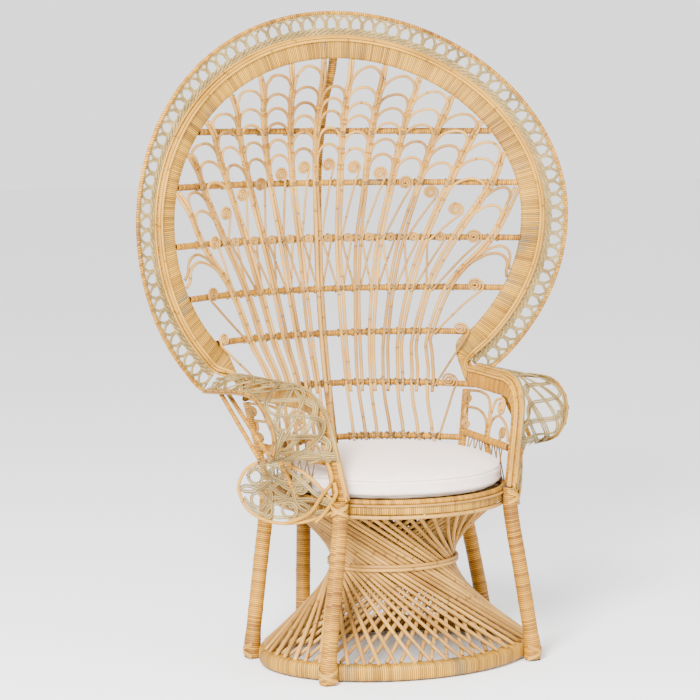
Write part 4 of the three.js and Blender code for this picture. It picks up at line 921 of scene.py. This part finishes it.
def back_post_y(z):
    head = leg_places(leg_turns["side"])[1][1] - chair_middle[1]
    return head + (arm_elbow_y + 0.012 - head) * (z - seat_top) / (arm_top - arm_band_wide - seat_top)


for number, z in enumerate(rail_heights):
    if number < 2:
        half = arm_x(back_post_y(z), z) + (0.012 if number else 0.002)
    else:
        half = inner_half * math.sqrt(1 - ((z - fan_middle) / band_reach(z)) ** 2) + 0.004
    line, square = on_back(np.linspace(-half, half, 120), z)
    add_wound(f"back_rail_{number + 1}", [wind(line, lying_on(line, square)[0], square, rail_radius, rail_radius,
                                               pitch=0.0044, ridge=0.0006, sides=14, seed=70 + number)])
line, _ = on_back(0, np.linspace(rail_low - 0.015, fan_middle + fan_rise - 0.006, 40), post_behind)
foot_y = seat_centre + seat_half[1] + post_radius + 0.0006
low_points = np.array([[0, foot_y, post_foot], [0, foot_y, post_bend], [0, foot_y, seat_top + 0.01]]) + chair_middle
line = evenly(curve_through(np.vstack([low_points, line[::3]]), 12), 0.003)
add_wound("centre_post", [wind(line, *carried_frame(line, [1.0, 0, 0]), post_radius, post_radius,
                               pitch=0.0046, ridge=0.0006, sides=18, seed=81)])

# Stems and arches: fourteen pairs of peeled rods spread over the fan; one rod of each pair
# ends under the second rail. Between two pairs stand stacked arches with a scroll under them.
# Small scrolls sit on the fifth rail and at the ends of the second and third.
stem_radius, stem_ahead = 0.0043, rail_radius + 0.005 + 0.0022
stem_end_below, stem_foot_apart = 0.024, 0.0010
foot_half = np.array([0.2665, 0.2485])
apart_heights, stems_apart = (0.5, 0.60, 0.95, 1.15), (0.0010, 0.0054, 0.0052, 0.0042, 0.0034)
arch_radius, curl_radius = 0.0036, 0.0029
arch_rise, arch_beside, arch_end_room = 0.040, 0.0045, 0.004
widest_pitch = (inner_half + 0.004) / 7
pattern_shift = 0.012
lane_shares = ((0, 0.4545, 0.197, 0), (1, 0.4697, 0.197, 0), (3, 0.6667, 0.0909, 0), (4, 0.8182, 0, 0.0909),
               (5, 1, 0, 0.1667))
arch_top_shares = ((0.861, 0.779, 0.697, 0.589, 0.482), (0.976, 0.855, 0.75, 0.666, 0.561, 0.453),
                   (0.929, 0.808, 0.713, 0.618, 0.511, 0.413), (0.842, 0.711, 0.605, 0.495, 0.389),
                   (0.697, 0.568, 0.468, 0.355), (0.495, 0.384, 0.25), (0.195, 0.076), (-0.189, -0.237))
scroll_shares = (0.334, 0.316, 0.276, 0.213, 0.15, 0.039, -0.139, -0.455)
rail_end_scrolls = ((1, 0.262), (2, 0.322))
# radius outside, turns and radius inside of each kind of scroll
large_scroll, small_scroll, rail_end_scroll = (0.0175, 2.7, 0.0025), (0.0118, 2.1, 0.0022), (0.0155, 2.4, 0.0024)


def column_z(share):
    return fan_middle + share * (fan_rise - band_wide)


def band_inner_x(z):
    return inner_half * np.sqrt(np.clip(1 - ((z - fan_middle) / band_reach(z)) ** 2, 0, 1))


def lane_foot(size):
    return widest_pitch * (lane_shares[0][1] * size + lane_shares[0][2])


def lane_line(lane):
    """Front view line of one stem, from the lowest rail to inside the band."""
    size = abs(lane)
    step = size - 0.5
    top_angle = math.radians(4.6 + 10.9 * step + 0.26 * step ** 2)
    _, top_z = fan_outline(top_angle, -band_wide + 0.010)
    edge_x, edge_z = fan_outline(top_angle, -band_wide)
    spread = max(0, size - 4) ** 2
    side = math.copysign(1, lane)
    points = [(side * widest_pitch * (pitch * size + offset + fan * spread) + pattern_shift, 0, rail_heights[rail])
              for rail, pitch, offset, fan in lane_shares if rail_heights[rail] < top_z - 0.045]
    return curve_through([*points, (side * edge_x, 0, edge_z)], 16)


lane_lines = {lane + 0.5: lane_line(lane + 0.5) for lane in range(-7, 7)}


def lane_x(lane, z):
    if abs(lane) > 7:
        return math.copysign(1, lane) * band_inner_x(z)
    return np.interp(z, lane_lines[lane][:, 2], lane_lines[lane][:, 0])


def room_at(x, z):
    """Share of its distance ahead that a rod keeps where it comes under the band."""
    return np.clip(inside_band(x, z) / 0.01, 0.1, 1)


def front_rod(points, ahead, radius, luck, step=0.005):
    """A peeled rod through front view points, ahead of the hollowed filling."""
    x, z = evenly(curve_through([(x, z, 0) for x, z in points], 8), step)[:, :2].T
    line, square = on_back(x, z, ahead * room_at(x, z))
    return sweep(line, *lying_on(line, square), radius, sides=8, luck=luck)


def scroll_points(x, z, outer, turns, inner, start=-0.6, side=1):
    """A spiral from its outer end below on one side, up, over and inward."""
    angle = np.linspace(0, turns * 2 * np.pi, int(turns * 20))
    reach = outer + (inner - outer) * (angle / angle[-1]) ** 0.85
    return [(x + side * r * math.cos(start + a), z + r * math.sin(start + a)) for a, r in zip(angle, reach)]


def between(start, end, *shares):
    return [(start[0] + (end[0] - start[0]) * f, start[1] + (end[1] - start[1]) * f) for f in shares]


def stem_name(lane):
    return f"stem_{'right' if lane > 0 else 'left'}_{int(abs(lane) + 0.5)}"


def stem_rods(lane):
    """The two rods of one stem; the outer one of the pair ends under the second rail."""
    top = lane_lines[lane][-1, 2]
    side = math.copysign(1, lane)
    rods = []
    for number, offset in enumerate((-1, 1)):
        ends = offset * side > 0
        z = np.append(np.arange(rail_heights[1] - stem_end_below if ends else rail_low, top - 0.03, 0.03), top)
        apart = np.interp(z, [*apart_heights, max(top, 1.16)], stems_apart)
        wobble = 0.0007 * np.sin(z * 21 + lane * 3 + number * 2)
        x = lane_x(lane, z) + offset * apart + wobble
        points, _ = on_back(x, z, stem_ahead * room_at(x, z))
        if not ends:
            foot_x = side * lane_foot(abs(lane)) + pattern_shift + offset * stem_foot_apart
            share = min(0.98, abs(foot_x) / foot_half[0])
            foot_y = seat_centre + foot_half[1] * math.sqrt(1 - share ** 2) + chair_middle[1]
            foot = np.array([foot_x, foot_y, seat_top])
            points = np.vstack([foot, foot * 0.5 + points[0] * 0.5, points])
        line = evenly(curve_through(points, 6), 0.008)
        radius = stem_radius * (1 + dice.uniform(-0.06, 0.06))
        rods.append(sweep(line, *carried_frame(line, [1.0, 0, 0]), radius, sides=9, luck=dice.uniform(0, 1)))
    return rods


def arch_line(column, share):
    """Front view line of one arch; where it would run under the band, its outer side comes down."""
    def limit():
        return column_z(np.sqrt(np.clip(1 - (x / inner_half) ** 2, 0, 1))) - 2 * arch_radius

    turn = np.linspace(0, np.pi, 11)
    z = column_z(share) - arch_radius - arch_rise * (1 - np.sin(turn) ** 0.9)
    left = lane_x(column - 0.5, z) + arch_beside + (arch_end_room if column == -7 else 0)
    right = lane_x(column + 0.5, z) - arch_beside - (arch_end_room if column == 7 else 0)
    x = left + (right - left) * (1 - np.cos(turn)) / 2
    if column and (z > limit() - 0.001).any():
        outer_end = -1 if column > 0 else 0
        lean = np.linspace(0, 1, 11)[::1 if column > 0 else -1] ** 0.7
        for _ in range(3):
            z = z - max(0, (z - limit() + 0.001)[1:-1].max()) * lean * 1.1
            end_x = lane_x(column + math.copysign(0.5, column), z[outer_end]) - math.copysign(arch_beside, column)
            x[outer_end] = min(x[outer_end], end_x, key=abs)
    return x, np.minimum(z, limit())


dice = np.random.RandomState(91)
stem_shells = {}
collar_places = []
for lane in lane_lines:
    stem_shells[lane] = stem_rods(lane)
for column in range(-7, 8):
    size = abs(column)
    owner = max(column - 0.5, -6.5)
    shells = stem_shells[owner]
    for share in arch_top_shares[size]:
        x, z = arch_line(column, share)
        legs = []
        for lane, end, way in ((column - 0.5, 0, 1), (column + 0.5, -1, -1)):
            if abs(lane) > 7:
                legs.append([(x[end], z[end] - 0.016)])
                continue
            low = z[end] - 0.045 - dice.uniform(0, 0.012)
            middle = z[end] - 0.02
            legs.append([(lane_x(lane, low) + way * 0.0012, low), (lane_x(lane, middle) + way * 0.0035, middle)])
            collar_places.append((lane, z[end] - 0.012))
        shells.append(front_rod([*legs[0], *zip(x, z), *legs[1][::-1]], stem_ahead + 0.0012,
                                arch_radius * dice.uniform(0.94, 1.06), dice.uniform(0, 1)))
    centre_z = column_z(scroll_shares[size])
    centre_x = (lane_x(column - 0.5, centre_z) + lane_x(column + 0.5, centre_z)) / 2
    low_rail = rail_heights[rail_heights < centre_z - 0.051][-1]
    side = math.copysign(1, column - owner)
    spiral = scroll_points(centre_x, centre_z, *large_scroll, side=side)
    foot = (lane_x(owner, low_rail) + side * 0.0055, low_rail - 0.01)
    tail = [(x, foot[1] + (z - foot[1]) * 1.02) for x, z in between(foot, spiral[0], 0.35, 0.7)]
    shells.append(front_rod([foot, *tail, *spiral], stem_ahead + 0.001, curl_radius, dice.uniform(0, 1), 0.004))
    if size <= 5:
        z, low_z = rail_heights[4], rail_heights[3]
        curl = scroll_points((lane_x(column - 0.5, z) + lane_x(column + 0.5, z)) / 2, z, *small_scroll)
        foot = (lane_x(column - 0.5, low_z) + 0.0065, low_z - 0.008)
        shells.append(front_rod([foot, *between(foot, curl[0], 0.5), *curl], rail_radius + curl_radius, curl_radius,
                                dice.uniform(0, 1), 0.003))
        start = (lane_x(column - 0.5, z) + 0.0055, z + 0.012)
        end = (lane_x(column + 0.5, low_z) - 0.0065, low_z - 0.008)
        shells.append(front_rod([start, *between(start, end, 0.5), end], stem_ahead + 0.0015, curl_radius,
                                dice.uniform(0, 1), 0.01))
for lane in (-6.5, 6.5):
    side = math.copysign(1, lane)
    for rail, out in rail_end_scrolls:
        foot = (lane_x(lane, rail_heights[rail - 1]) + side * 0.007, rail_heights[rail - 1] - 0.008)
        curl = scroll_points(side * out, rail_heights[rail] + 0.004, *rail_end_scroll, -0.9, side)
        course, _ = on_back(*zip(foot, *curl), rail_radius + curl_radius + 0.001)
        course = np.vstack([course[:1], course[:1] * 0.5 + course[1:2] * 0.5, course[1:]])
        line = evenly(curve_through(course, 8), 0.004)
        stem_shells[lane].append(sweep(line, *carried_frame(line, [1.0, 0, 0]), curl_radius, sides=8,
                                       luck=dice.uniform(0, 1)))
for lane, shells in stem_shells.items():
    add_piece(f"{stem_name(lane)}_rods", shells, peeled_rod, [stem_name(lane)])

# Bindings: flat canes tied crosswise over every stem at every rail, and short collars wound
# round the pairs of rods where the arches leave them.
lashing_out, lashing_up, lashing_half_wide, lashing_half_thick = 0.0105, 0.0088, 0.0023, 0.0007
lashing_ahead, lashing_flat, lashing_fall = 0.0052, 0.45, 0.034
collar_half_wide, collar_half_deep, collar_reach = 0.0088, 0.0050, 0.0035
shells = []
t = np.linspace(-1, 1, 15)
for lane, course in lane_lines.items():
    for z in rail_heights[rail_heights < course[-1, 2] - 0.03]:
        for way in (-1, 1):
            line, square = on_back(lane_x(lane, z) + t * lashing_out, z + way * t * lashing_up,
                                   stem_ahead + lashing_ahead - np.clip(np.abs(t) - lashing_flat, 0, 1) * lashing_fall)
            shells.append(sweep(line, *lying_on(line, square), lashing_half_wide, lashing_half_thick, sides=6,
                                square=3.0, luck=dice.uniform(0, 1)))
add_piece("stem_lashings", shells, lashing_cane)
shells = []
for lane, z in collar_places:
    span = np.linspace(z - collar_reach, z + collar_reach, 7)
    line, square = on_back(lane_x(lane, span), span, stem_ahead + 0.0004)
    shells.append(wind(line, lying_on(line, square)[0], square, collar_half_wide, collar_half_deep, pitch=0.0020,
                       ridge=0.0003, sides=14, square=2.3, seed=int(z * 1e4) % 999))
add_piece("stem_collars", shells, wound_cane, coordinates="turns")

# Arms: under each arm's band stand a flat back post, at the elbow, and a round side rail from
# it to the front post. Both are rods wound with strand.
arm_rail_z, arm_rail_radius, post_wide, post_thick = 0.487, 0.0088, 0.024, 0.015
z = np.linspace(seat_top + 0.001, arm_top - arm_band_wide - band_thick / 2 - gap, 30)
y = back_post_y(z)
line = np.stack([arm_x(y, z), y, z], 1) + chair_middle
post = wind(line, np.tile([0.0, 1.0, 0.0], (30, 1)), np.tile([1.0, 0.0, 0.0], (30, 1)), post_wide / 2 - 0.0004,
            post_thick / 2 - 0.0004, pitch=0.0045, ridge=0.0006, sides=20, square=3.0, seed=95)
front_y = arm_front_y_at(arm_rail_z) + arm_band_wide + 0.0019
back_face = back_post_y(arm_rail_z) - post_wide / 2 - 0.0025
line = np.linspace(arm_point(back_face, arm_rail_z), arm_point(front_y, arm_rail_z), 40) + chair_middle
rail = wind(line, *carried_frame(line, [0, 0, 1.0]), arm_rail_radius, arm_rail_radius, pitch=0.0044, ridge=0.0006,
            sides=16, seed=96)
for side_name, posts, rails in both_sides([post], [rail]):
    add_wound(f"arm_back_post_{side_name}", posts)
    add_wound(f"arm_rail_{side_name}", rails)

# Arm scrolls: in each arm's opening thin rods rise from the side rail as a bundle and part
# into four; two arch back to the post, two forward, one of them into a curl. Three more curls
# sit on rail and post. A wound stump and crossed ties hold the rail to the seat.
stem_y, stem_foot = 0.026, arm_rail_z + 0.007
arm_rod_radius, stump_half_wide, stump_half_deep = 0.0034, 0.006, 0.007
arm_collar_half_wide, arm_collar_half_deep, arm_collar_top = 0.0046, 0.0098, 0.525
tie_half_wide, tie_half_thick, tie_pitch, tie_reach = 0.0020, 0.0016, 0.030, 0.014
dice = np.random.RandomState(101)


def in_arm(*points):
    """A rod through side view points in the leaning plane of the right arm."""
    y, z = curve_through([(y, z, 0) for y, z in points], 8)[:, :2].T
    line = evenly(np.stack([arm_x(y, z), y, z], 1) + chair_middle, 0.003)
    return sweep(line, *carried_frame(line, [1.0, 0, 0]), arm_rod_radius, sides=9, luck=dice.uniform(0, 1))


def before_post(*points):
    """A rod through front view points, measured from the post's middle, on the post's front face."""
    x, z = np.array(points).T
    y = back_post_y(z) - post_wide / 2 - arm_rod_radius * 0.8
    line = evenly(curve_through(np.stack([arm_x(y, z) + x, y, z], 1), 4), 0.003) + chair_middle
    return sweep(line, *carried_frame(line, [0, 1.0, 0]), arm_rod_radius, sides=9, luck=dice.uniform(0, 1))


rods = [in_arm((stem_y + 0.004, stem_foot), (0.031, 0.535), (0.034, 0.562), (0.052, 0.583), (0.10, 0.591),
               (0.168, 0.587)),
        in_arm((stem_y + 0.009, stem_foot), (0.037, 0.518), (0.058, 0.538), (0.10, 0.549), (0.172, 0.547)),
        in_arm((stem_y - 0.001, stem_foot), (0.024, 0.535), (0.018, 0.560), (0.004, 0.583),
               *scroll_points(-0.030, 0.571, 0.022, 1.9, 0.004, 0.9)),
        in_arm((stem_y - 0.006, stem_foot), (0.016, 0.522), (0.002, 0.541), (-0.026, 0.549), (-0.058, 0.541),
               (-0.084, 0.524), (-0.098, 0.500)),
        in_arm((-0.050, stem_foot), *scroll_points(-0.060, 0.514, 0.014, 1.8, 0.004, -0.8)),
        before_post((-0.002, 0.589), *scroll_points(0, 0.567, 0.0115, 2.0, 0.003, 1.3)),
        before_post((-0.004, 0.545), (-0.005, 0.53), *scroll_points(0, 0.506, 0.0115, 2.0, 0.003, 1.3))]
line = np.array([[arm_x(stem_y, z), stem_y + 0.001, z] for z in np.linspace(stem_foot, arm_collar_top, 12)])
line = line + chair_middle
collar = wind(line, *carried_frame(line, [1.0, 0, 0]), arm_collar_half_wide, arm_collar_half_deep, pitch=0.0032,
              ridge=0.0004, sides=14, square=2.4, seed=102)
line = np.linspace([seat_half[0] - 0.006, stem_y, seat_top + 0.001],
                   [arm_x(stem_y, arm_rail_z), stem_y, arm_rail_z - 0.0075], 20)
stump = wind(line + chair_middle, *carried_frame(line, [1.0, 0, 0]), stump_half_wide, stump_half_deep,
             pitch=0.0040, ridge=0.0005, sides=14, seed=103)
ties = []
for i in range(7):
    for way in (-1, 1):
        y = -0.055 + i * tie_pitch + way * np.linspace(-tie_reach, tie_reach, 9)
        z = np.linspace(seat_top - 0.004, arm_rail_z - 0.004, 9)
        low_x = seat_half[0] * np.sqrt(1 - ((y - seat_centre) / seat_half[1]) ** 2) - 0.007
        x = low_x + (arm_x(y, z) - low_x) * np.linspace(0, 1, 9) + way * 0.0012 + 0.003
        ties.append(sweep(np.stack([x, y, z], 1) + chair_middle, np.tile([0, 1.0, 0], (9, 1)),
                          np.tile([1.0, 0, 0], (9, 1)), tie_half_wide, tie_half_thick, sides=6, square=2.5,
                          luck=dice.uniform(0, 1)))
for side_name, scrolls, collars, side_ties in both_sides(rods, [collar, stump], ties):
    add_piece(f"arm_scrolls_{side_name}", scrolls, peeled_rod)
    add_piece(f"arm_scroll_collars_{side_name}", collars, wound_cane, coordinates="turns")
    add_piece(f"arm_rail_ties_{side_name}", side_ties, lashing_cane)

# Wings: a woven leaf of flat split cane outside each arm, from the elbow to the front post.
# Bands of strands cross between the arm and a rim of two bent rods, curled strands fill the
# edges, and strips of bark bind the rim.
wing_first, wing_last, wing_reach = 49.06, 59.0, 0.125
wing_inset, wing_start, wing_rows = 0.0135, 0.062, 260
wing_rim_shares = ((0.86, 0.72, -0.12), (0.87, 0.32, -0.08), (0.88, -0.48, -0.10), (0.86, -0.92, -0.34),
                   (0.79, -1.10, -0.69), (0.72, -0.88, -1.06), (0.66, -0.16, -1.29))
band_waves, band_swing, edge_rings, ring_size = 2.5, 0.40, 6, 0.0115
rim_rod_radius, rim_rod_apart = 0.0030, 0.0021
bark_strips, bark_reach, bark_half_wide, bark_half_deep = 15, 0.010, 0.0043, 0.0052
first, last = round(wing_first * per_station), round(wing_last * per_station)
rim_points = [outer_edge[first] + band_across[first] * wing_start]
rim_points += [np.array([arm_top_x, 0, arm_top]) + np.array(share) * wing_reach + chair_middle
               for share in wing_rim_shares]
wing_numbers = np.arange(wing_rows)


def same_rows(line):
    run = run_of(line)
    return drawn_at(np.linspace(0, run[-1], wing_rows), run, line)[0]


wing_inner = same_rows((outer_edge + band_across * wing_inset)[first:last + 1])
wing_rim = same_rows(curve_through(rim_points, 40))
wing_span = np.linalg.norm(wing_rim - wing_inner, axis=1)


def span_at(share):
    return np.interp(share * (wing_rows - 1), wing_numbers, wing_span)


def on_wing(share, out, lift):
    """Points of the wing: a share of its length, metres out from the arm, lifted off its surface."""
    share, out, lift = np.broadcast_arrays(np.clip(share, 0, 1), out, lift)
    at = share * (wing_rows - 1)
    near, far, near_way, far_way = drawn_at(at, wing_numbers, wing_inner, wing_rim, np.gradient(wing_inner, axis=0),
                                            np.gradient(wing_rim, axis=0))
    reach = (out / span_at(share))[:, None]
    square = unit(np.cross(far - near, near_way + (far_way - near_way) * reach))
    return near + (far - near) * reach + square * lift[:, None], square


def flat_strands(line, square, count, half_wide=0.0020, half_thick=0.0009, spacing=0.0048):
    """Flat canes side by side along one line of a woven panel."""
    line, square = evenly(line, 0.0035, square)
    across, face = lying_on(line, square)
    return [sweep(line + across * spacing * (k - (count - 1) / 2), across, face, half_wide, half_thick, sides=6,
                  square=3.0, luck=dice.uniform(0, 1)) for k in range(count)]


share = np.linspace(0.02, 0.985, 420)
swing = 2 * np.pi * band_waves * share ** 1.1
woven = []
for wave, turn_wave, level, count in ((np.sin(swing), np.cos(swing), 0.0014, 3),
                                      (np.cos(swing), np.sin(swing), -0.0014, 2)):
    for way in (1, -1):
        out = span_at(share) * (0.5 + band_swing * way * wave)
        woven += flat_strands(*on_wing(share, out, level + way * 0.0008 * turn_wave), count)
for place_out, level in ((0.0165, 0.0026), (-0.0185, -0.0026)):
    roll = np.linspace(0, 1, edge_rings * 22)
    angle = 2 * np.pi * edge_rings * roll
    at = 0.05 + 0.92 * roll + ring_size * 1.5 / run_of(wing_inner)[-1] * np.sin(angle)
    middle = place_out if place_out > 0 else span_at(at) + place_out
    woven += flat_strands(*on_wing(at, middle + ring_size * np.cos(angle), level + 0.0007 * np.sin(angle)), 2)
for out in (0.0035, span_at(share) - 0.0065):
    woven += flat_strands(*on_wing(share, out, 0.0), 2, 0.0018, 0.0008, 0.0040)
cross = np.linspace(0.0, 1.0, 60)
for at, bend in ((0.972, 0.012), (0.955, 0.02), (0.06, 0.0)):
    end = wing_span[int(at * (wing_rows - 1))]
    woven += flat_strands(*on_wing(at - bend * np.sin(np.pi * cross), end * cross, 0.0004), 2)
bark_strip = new_finish("bark_strip", strand_group, 0.0002, Light=(0.27, 0.12, 0.018, 1),
                        Deep=(0.12, 0.045, 0.008, 1), Stain=(0.1, 0.06, 0.03, 1), Stained=0.2)
rim_out = unit(wing_rim - wing_inner)
_, rim_square = on_wing(np.linspace(0, 1, wing_rows), wing_span, 0.0)
rim_rods, rim_bindings = [], []
for way in (-1, 1):
    line = wing_rim + rim_square * way * rim_rod_apart + rim_out * (way * 0.0012 - 0.0015)
    line, out, square = evenly(line, 0.004, rim_out, rim_square)
    rim_rods.append(sweep(line, unit(out), unit(square), rim_rod_radius, sides=10, luck=dice.uniform(0, 1)))
for at in np.linspace(0.05, 0.98, bark_strips) + dice.uniform(-0.015, 0.015, bark_strips):
    rows = np.clip(np.linspace(at - bark_reach, at + bark_reach, 8), 0, 1) * (wing_rows - 1)
    line, out, square = drawn_at(rows, wing_numbers, wing_rim - rim_out * 0.0015, rim_out, rim_square)
    rim_bindings.append(wind(line, unit(out), unit(square), bark_half_wide, bark_half_deep, pitch=0.0034,
                             ridge=0.0003, sides=12, seed=int(at * 1000)))
for side_name, leaf, rods, strips in both_sides(woven, rim_rods, rim_bindings):
    add_piece(f"arm_wing_{side_name}_woven", leaf, split_cane, [f"arm_wing_{side_name}"])
    add_piece(f"arm_wing_rim_{side_name}_rods", rods, brown_rod, [f"arm_wing_rim_{side_name}"])
    add_piece(f"arm_wing_rim_{side_name}_bark", strips, bark_strip, coordinates="turns")

# Lobes: under each wing a small leaf of curled canes inside a bent rod, which grows from the
# head of the front leg, with two more rods that sweep from it up to the front post.
lobe_turn, lobe_long, lobe_tall, lobe_seat = math.radians(36), 0.25, 0.145, 0.0183
lobe_rim_radius, lobe_rod_radius = 0.0040, 0.0046
lobe_way = np.array([math.sin(lobe_turn), math.cos(lobe_turn), 0.0])
lobe_square = np.array([math.cos(lobe_turn), -math.sin(lobe_turn), 0.0])
lobe_root = leg_places(leg_turns["front"])[1] + lobe_way * lobe_seat
lobe_outline = np.array([(0, 0.44), (0.3, 0.84), (0.62, 0.99), (0.86, 0.86), (0.97, 0.6), (0.97, 0.42), (0.86, 0.14),
                         (0.62, 0), (0.3, 0.05), (0, 0.24)])
lobe_canes = ((((0, 0.40), (0.16, 0.50), (0.30, 0.68), (0.52, 0.90), (0.72, 0.91), (0.88, 0.70)), 0.002),
              (((0, 0.28), (0.18, 0.22), (0.36, 0.14), (0.60, 0.09), (0.80, 0.16), (0.92, 0.36)), -0.002),
              (((0, 0.34), (0.22, 0.42), (0.42, 0.40), (0.60, 0.52), (0.70, 0.74)), 0.0005))
lobe_rings = ((0.34, 0.62), (0.44, 0.22), (0.76, 0.34), (0.80, 0.70), (0.58, 0.76))
lobe_sweeps = ((0.016, 0.53, 0.45, ((0.10, 0.50), (0.22, 0.22), (0.46, 0.02))),
               (0.008, 0.447, 0.425, ((0.05, 0.28), (0.16, 0.08))))


def on_lobe(along, rise, lift=0.0):
    """Points of the lobe: shares of its length and of its height, lifted off its surface."""
    along, rise, lift = np.broadcast_arrays(np.asarray(along, float), rise, lift)
    line = lobe_root * [1, 1, 0] + lobe_way * (along * lobe_long)[:, None] + lobe_square * lift[:, None]
    line[:, 2] = wing_low + (rise - 1) * lobe_tall
    return line, np.tile(lobe_square, (len(line), 1))


def lobe_curve(points, per_span, lift=0.0):
    fine = curve_through([(a, b, 0) for a, b in points], per_span)
    return on_lobe(fine[:, 0], fine[:, 1], lift)


line, square = lobe_curve(lobe_outline + (lobe_outline.mean(0) - lobe_outline) * 0.02, 16)
line, square = evenly(line, 0.004, square)
lobe_rods = [sweep(line, lying_on(line, square)[0], square, lobe_rim_radius, sides=10, luck=0.4)]
leaf = []
angle = np.linspace(0, 2 * np.pi, 260)
for size, turn, level in ((1.0, 0.0, 0.0014), (0.62, 0.5, -0.0014)):
    a = 0.55 + size * (0.27 * np.cos(angle + turn) + 0.12 * np.cos(4 * angle + turn))
    b = 0.5 + size * (0.30 * np.sin(angle + turn) - 0.14 * np.sin(4 * angle + turn))
    leaf += flat_strands(*on_lobe(a, b, level + 0.0009 * np.sin(4 * angle)), 2)
for points, level in lobe_canes:
    leaf += flat_strands(*lobe_curve(points, 14, level), 2)
for a, b in lobe_rings:
    ring = np.linspace(0, 2 * np.pi * 1.3, 50) + a * 9
    side = 1 if b < 0.5 else -1
    leaf += flat_strands(*on_lobe(a + 0.072 * np.cos(ring), b + 0.118 * np.sin(ring), 0.0022 * side), 2)
for post_y, high, low, bends in lobe_sweeps:
    up_post = [arm_point(arm_front_y_at(z) + post_y, z) + chair_middle + [band_thick / 2 + lobe_rod_radius, 0, 0]
               for z in (high, (high + low) / 2, low)]
    line = evenly(curve_through([*up_post, *on_lobe(*zip(*bends), 0.0065)[0]], 14), 0.004)
    lobe_rods.append(sweep(line, *carried_frame(line, [0.3, 0.5, 1.0]), lobe_rod_radius, sides=10,
                           luck=dice.uniform(0, 1)))
for side_name, canes, rods in both_sides(leaf, lobe_rods):
    add_piece(f"arm_lobe_{side_name}_leaf", canes, split_cane, [f"arm_lobe_{side_name}"])
    add_piece(f"arm_lobe_{side_name}_rods", rods, golden_rod)

# Stays and edge rods: two wound rods that hold each wing's low corner to the elbow, a third
# from there down to the seat, and a smooth rod outside the piping down each front post.
stay_radius, edge_rod_radius, edge_rod_outset = 0.0050, 0.0031, 0.0097
stay_ends = (((0.374, 0.162, 0.622), (0.352, -0.014, 0.486)), ((0.354, 0.171, 0.622), (0.330, -0.020, 0.492)),
             ((0.316, -0.045, 0.486), (0.268, -0.055, 0.378)))
stays = []
for number, (high, low) in enumerate(stay_ends):
    line = np.linspace(high, low, 50) + chair_middle
    stays.append(wind(line, *carried_frame(line, [1.0, 0, 0]), stay_radius, stay_radius, pitch=0.0042, ridge=0.0005,
                      sides=12, seed=111 + number))
first, last = round(50.6 * per_station), round(59.95 * per_station)
line, across, face = evenly((outer_edge + band_across * edge_rod_outset)[first:last], 0.005, band_across[first:last],
                            band_face[first:last])
edge_rod = sweep(line, unit(across), unit(face), edge_rod_radius, sides=10, luck=0.55)
for side_name, side_stays, edge_rods in both_sides(stays, [edge_rod]):
    add_piece(f"arm_stays_{side_name}", side_stays, wound_cane, coordinates="turns")
    add_piece(f"arm_edge_rod_{side_name}", edge_rods, golden_rod)

# Leg lashings: flat canes crossed over the foot and the head of each leg, which hold the legs
# to the base ring and to the seat.
strand_half_wide, strand_half_thick, strand_pitch, strand_climb = 0.0016, 0.0007, 0.0034, 0.0085
foot_lashing_z, foot_lashing_reach, head_lashing_reach = 0.021, 0.0208, 0.0188
t = np.linspace(-1.75, 1.75, 26)
for place_name, step in leg_turns.items():
    knee, head, out_way = leg_places(step)
    round_leg = out_way * np.cos(t)[:, None] + np.cross([0, 0, 1.0], out_way) * np.sin(t)[:, None]
    low = np.array([knee[0], knee[1], foot_lashing_z])
    high = head + (knee - head) * 0.05 - [0, 0, 0.004]
    shells = []
    for middle, reach in ((low, foot_lashing_reach), (high, head_lashing_reach)):
        for way in (-1, 1):
            for k in (-1, 0, 1):
                line = middle + round_leg * (reach + 0.0006 * (way > 0)) + np.outer(
                    way * t * strand_climb + k * strand_pitch, [0, 0, 1.0])
                shells.append(sweep(line, *lying_on(line, round_leg), strand_half_wide, strand_half_thick, sides=6,
                                    square=3.0, luck=dice.uniform(0, 1)))
    for side_name, strands in both_sides(shells):
        add_piece(f"leg_{place_name}_{side_name}_lashing", strands, pale_lashing)

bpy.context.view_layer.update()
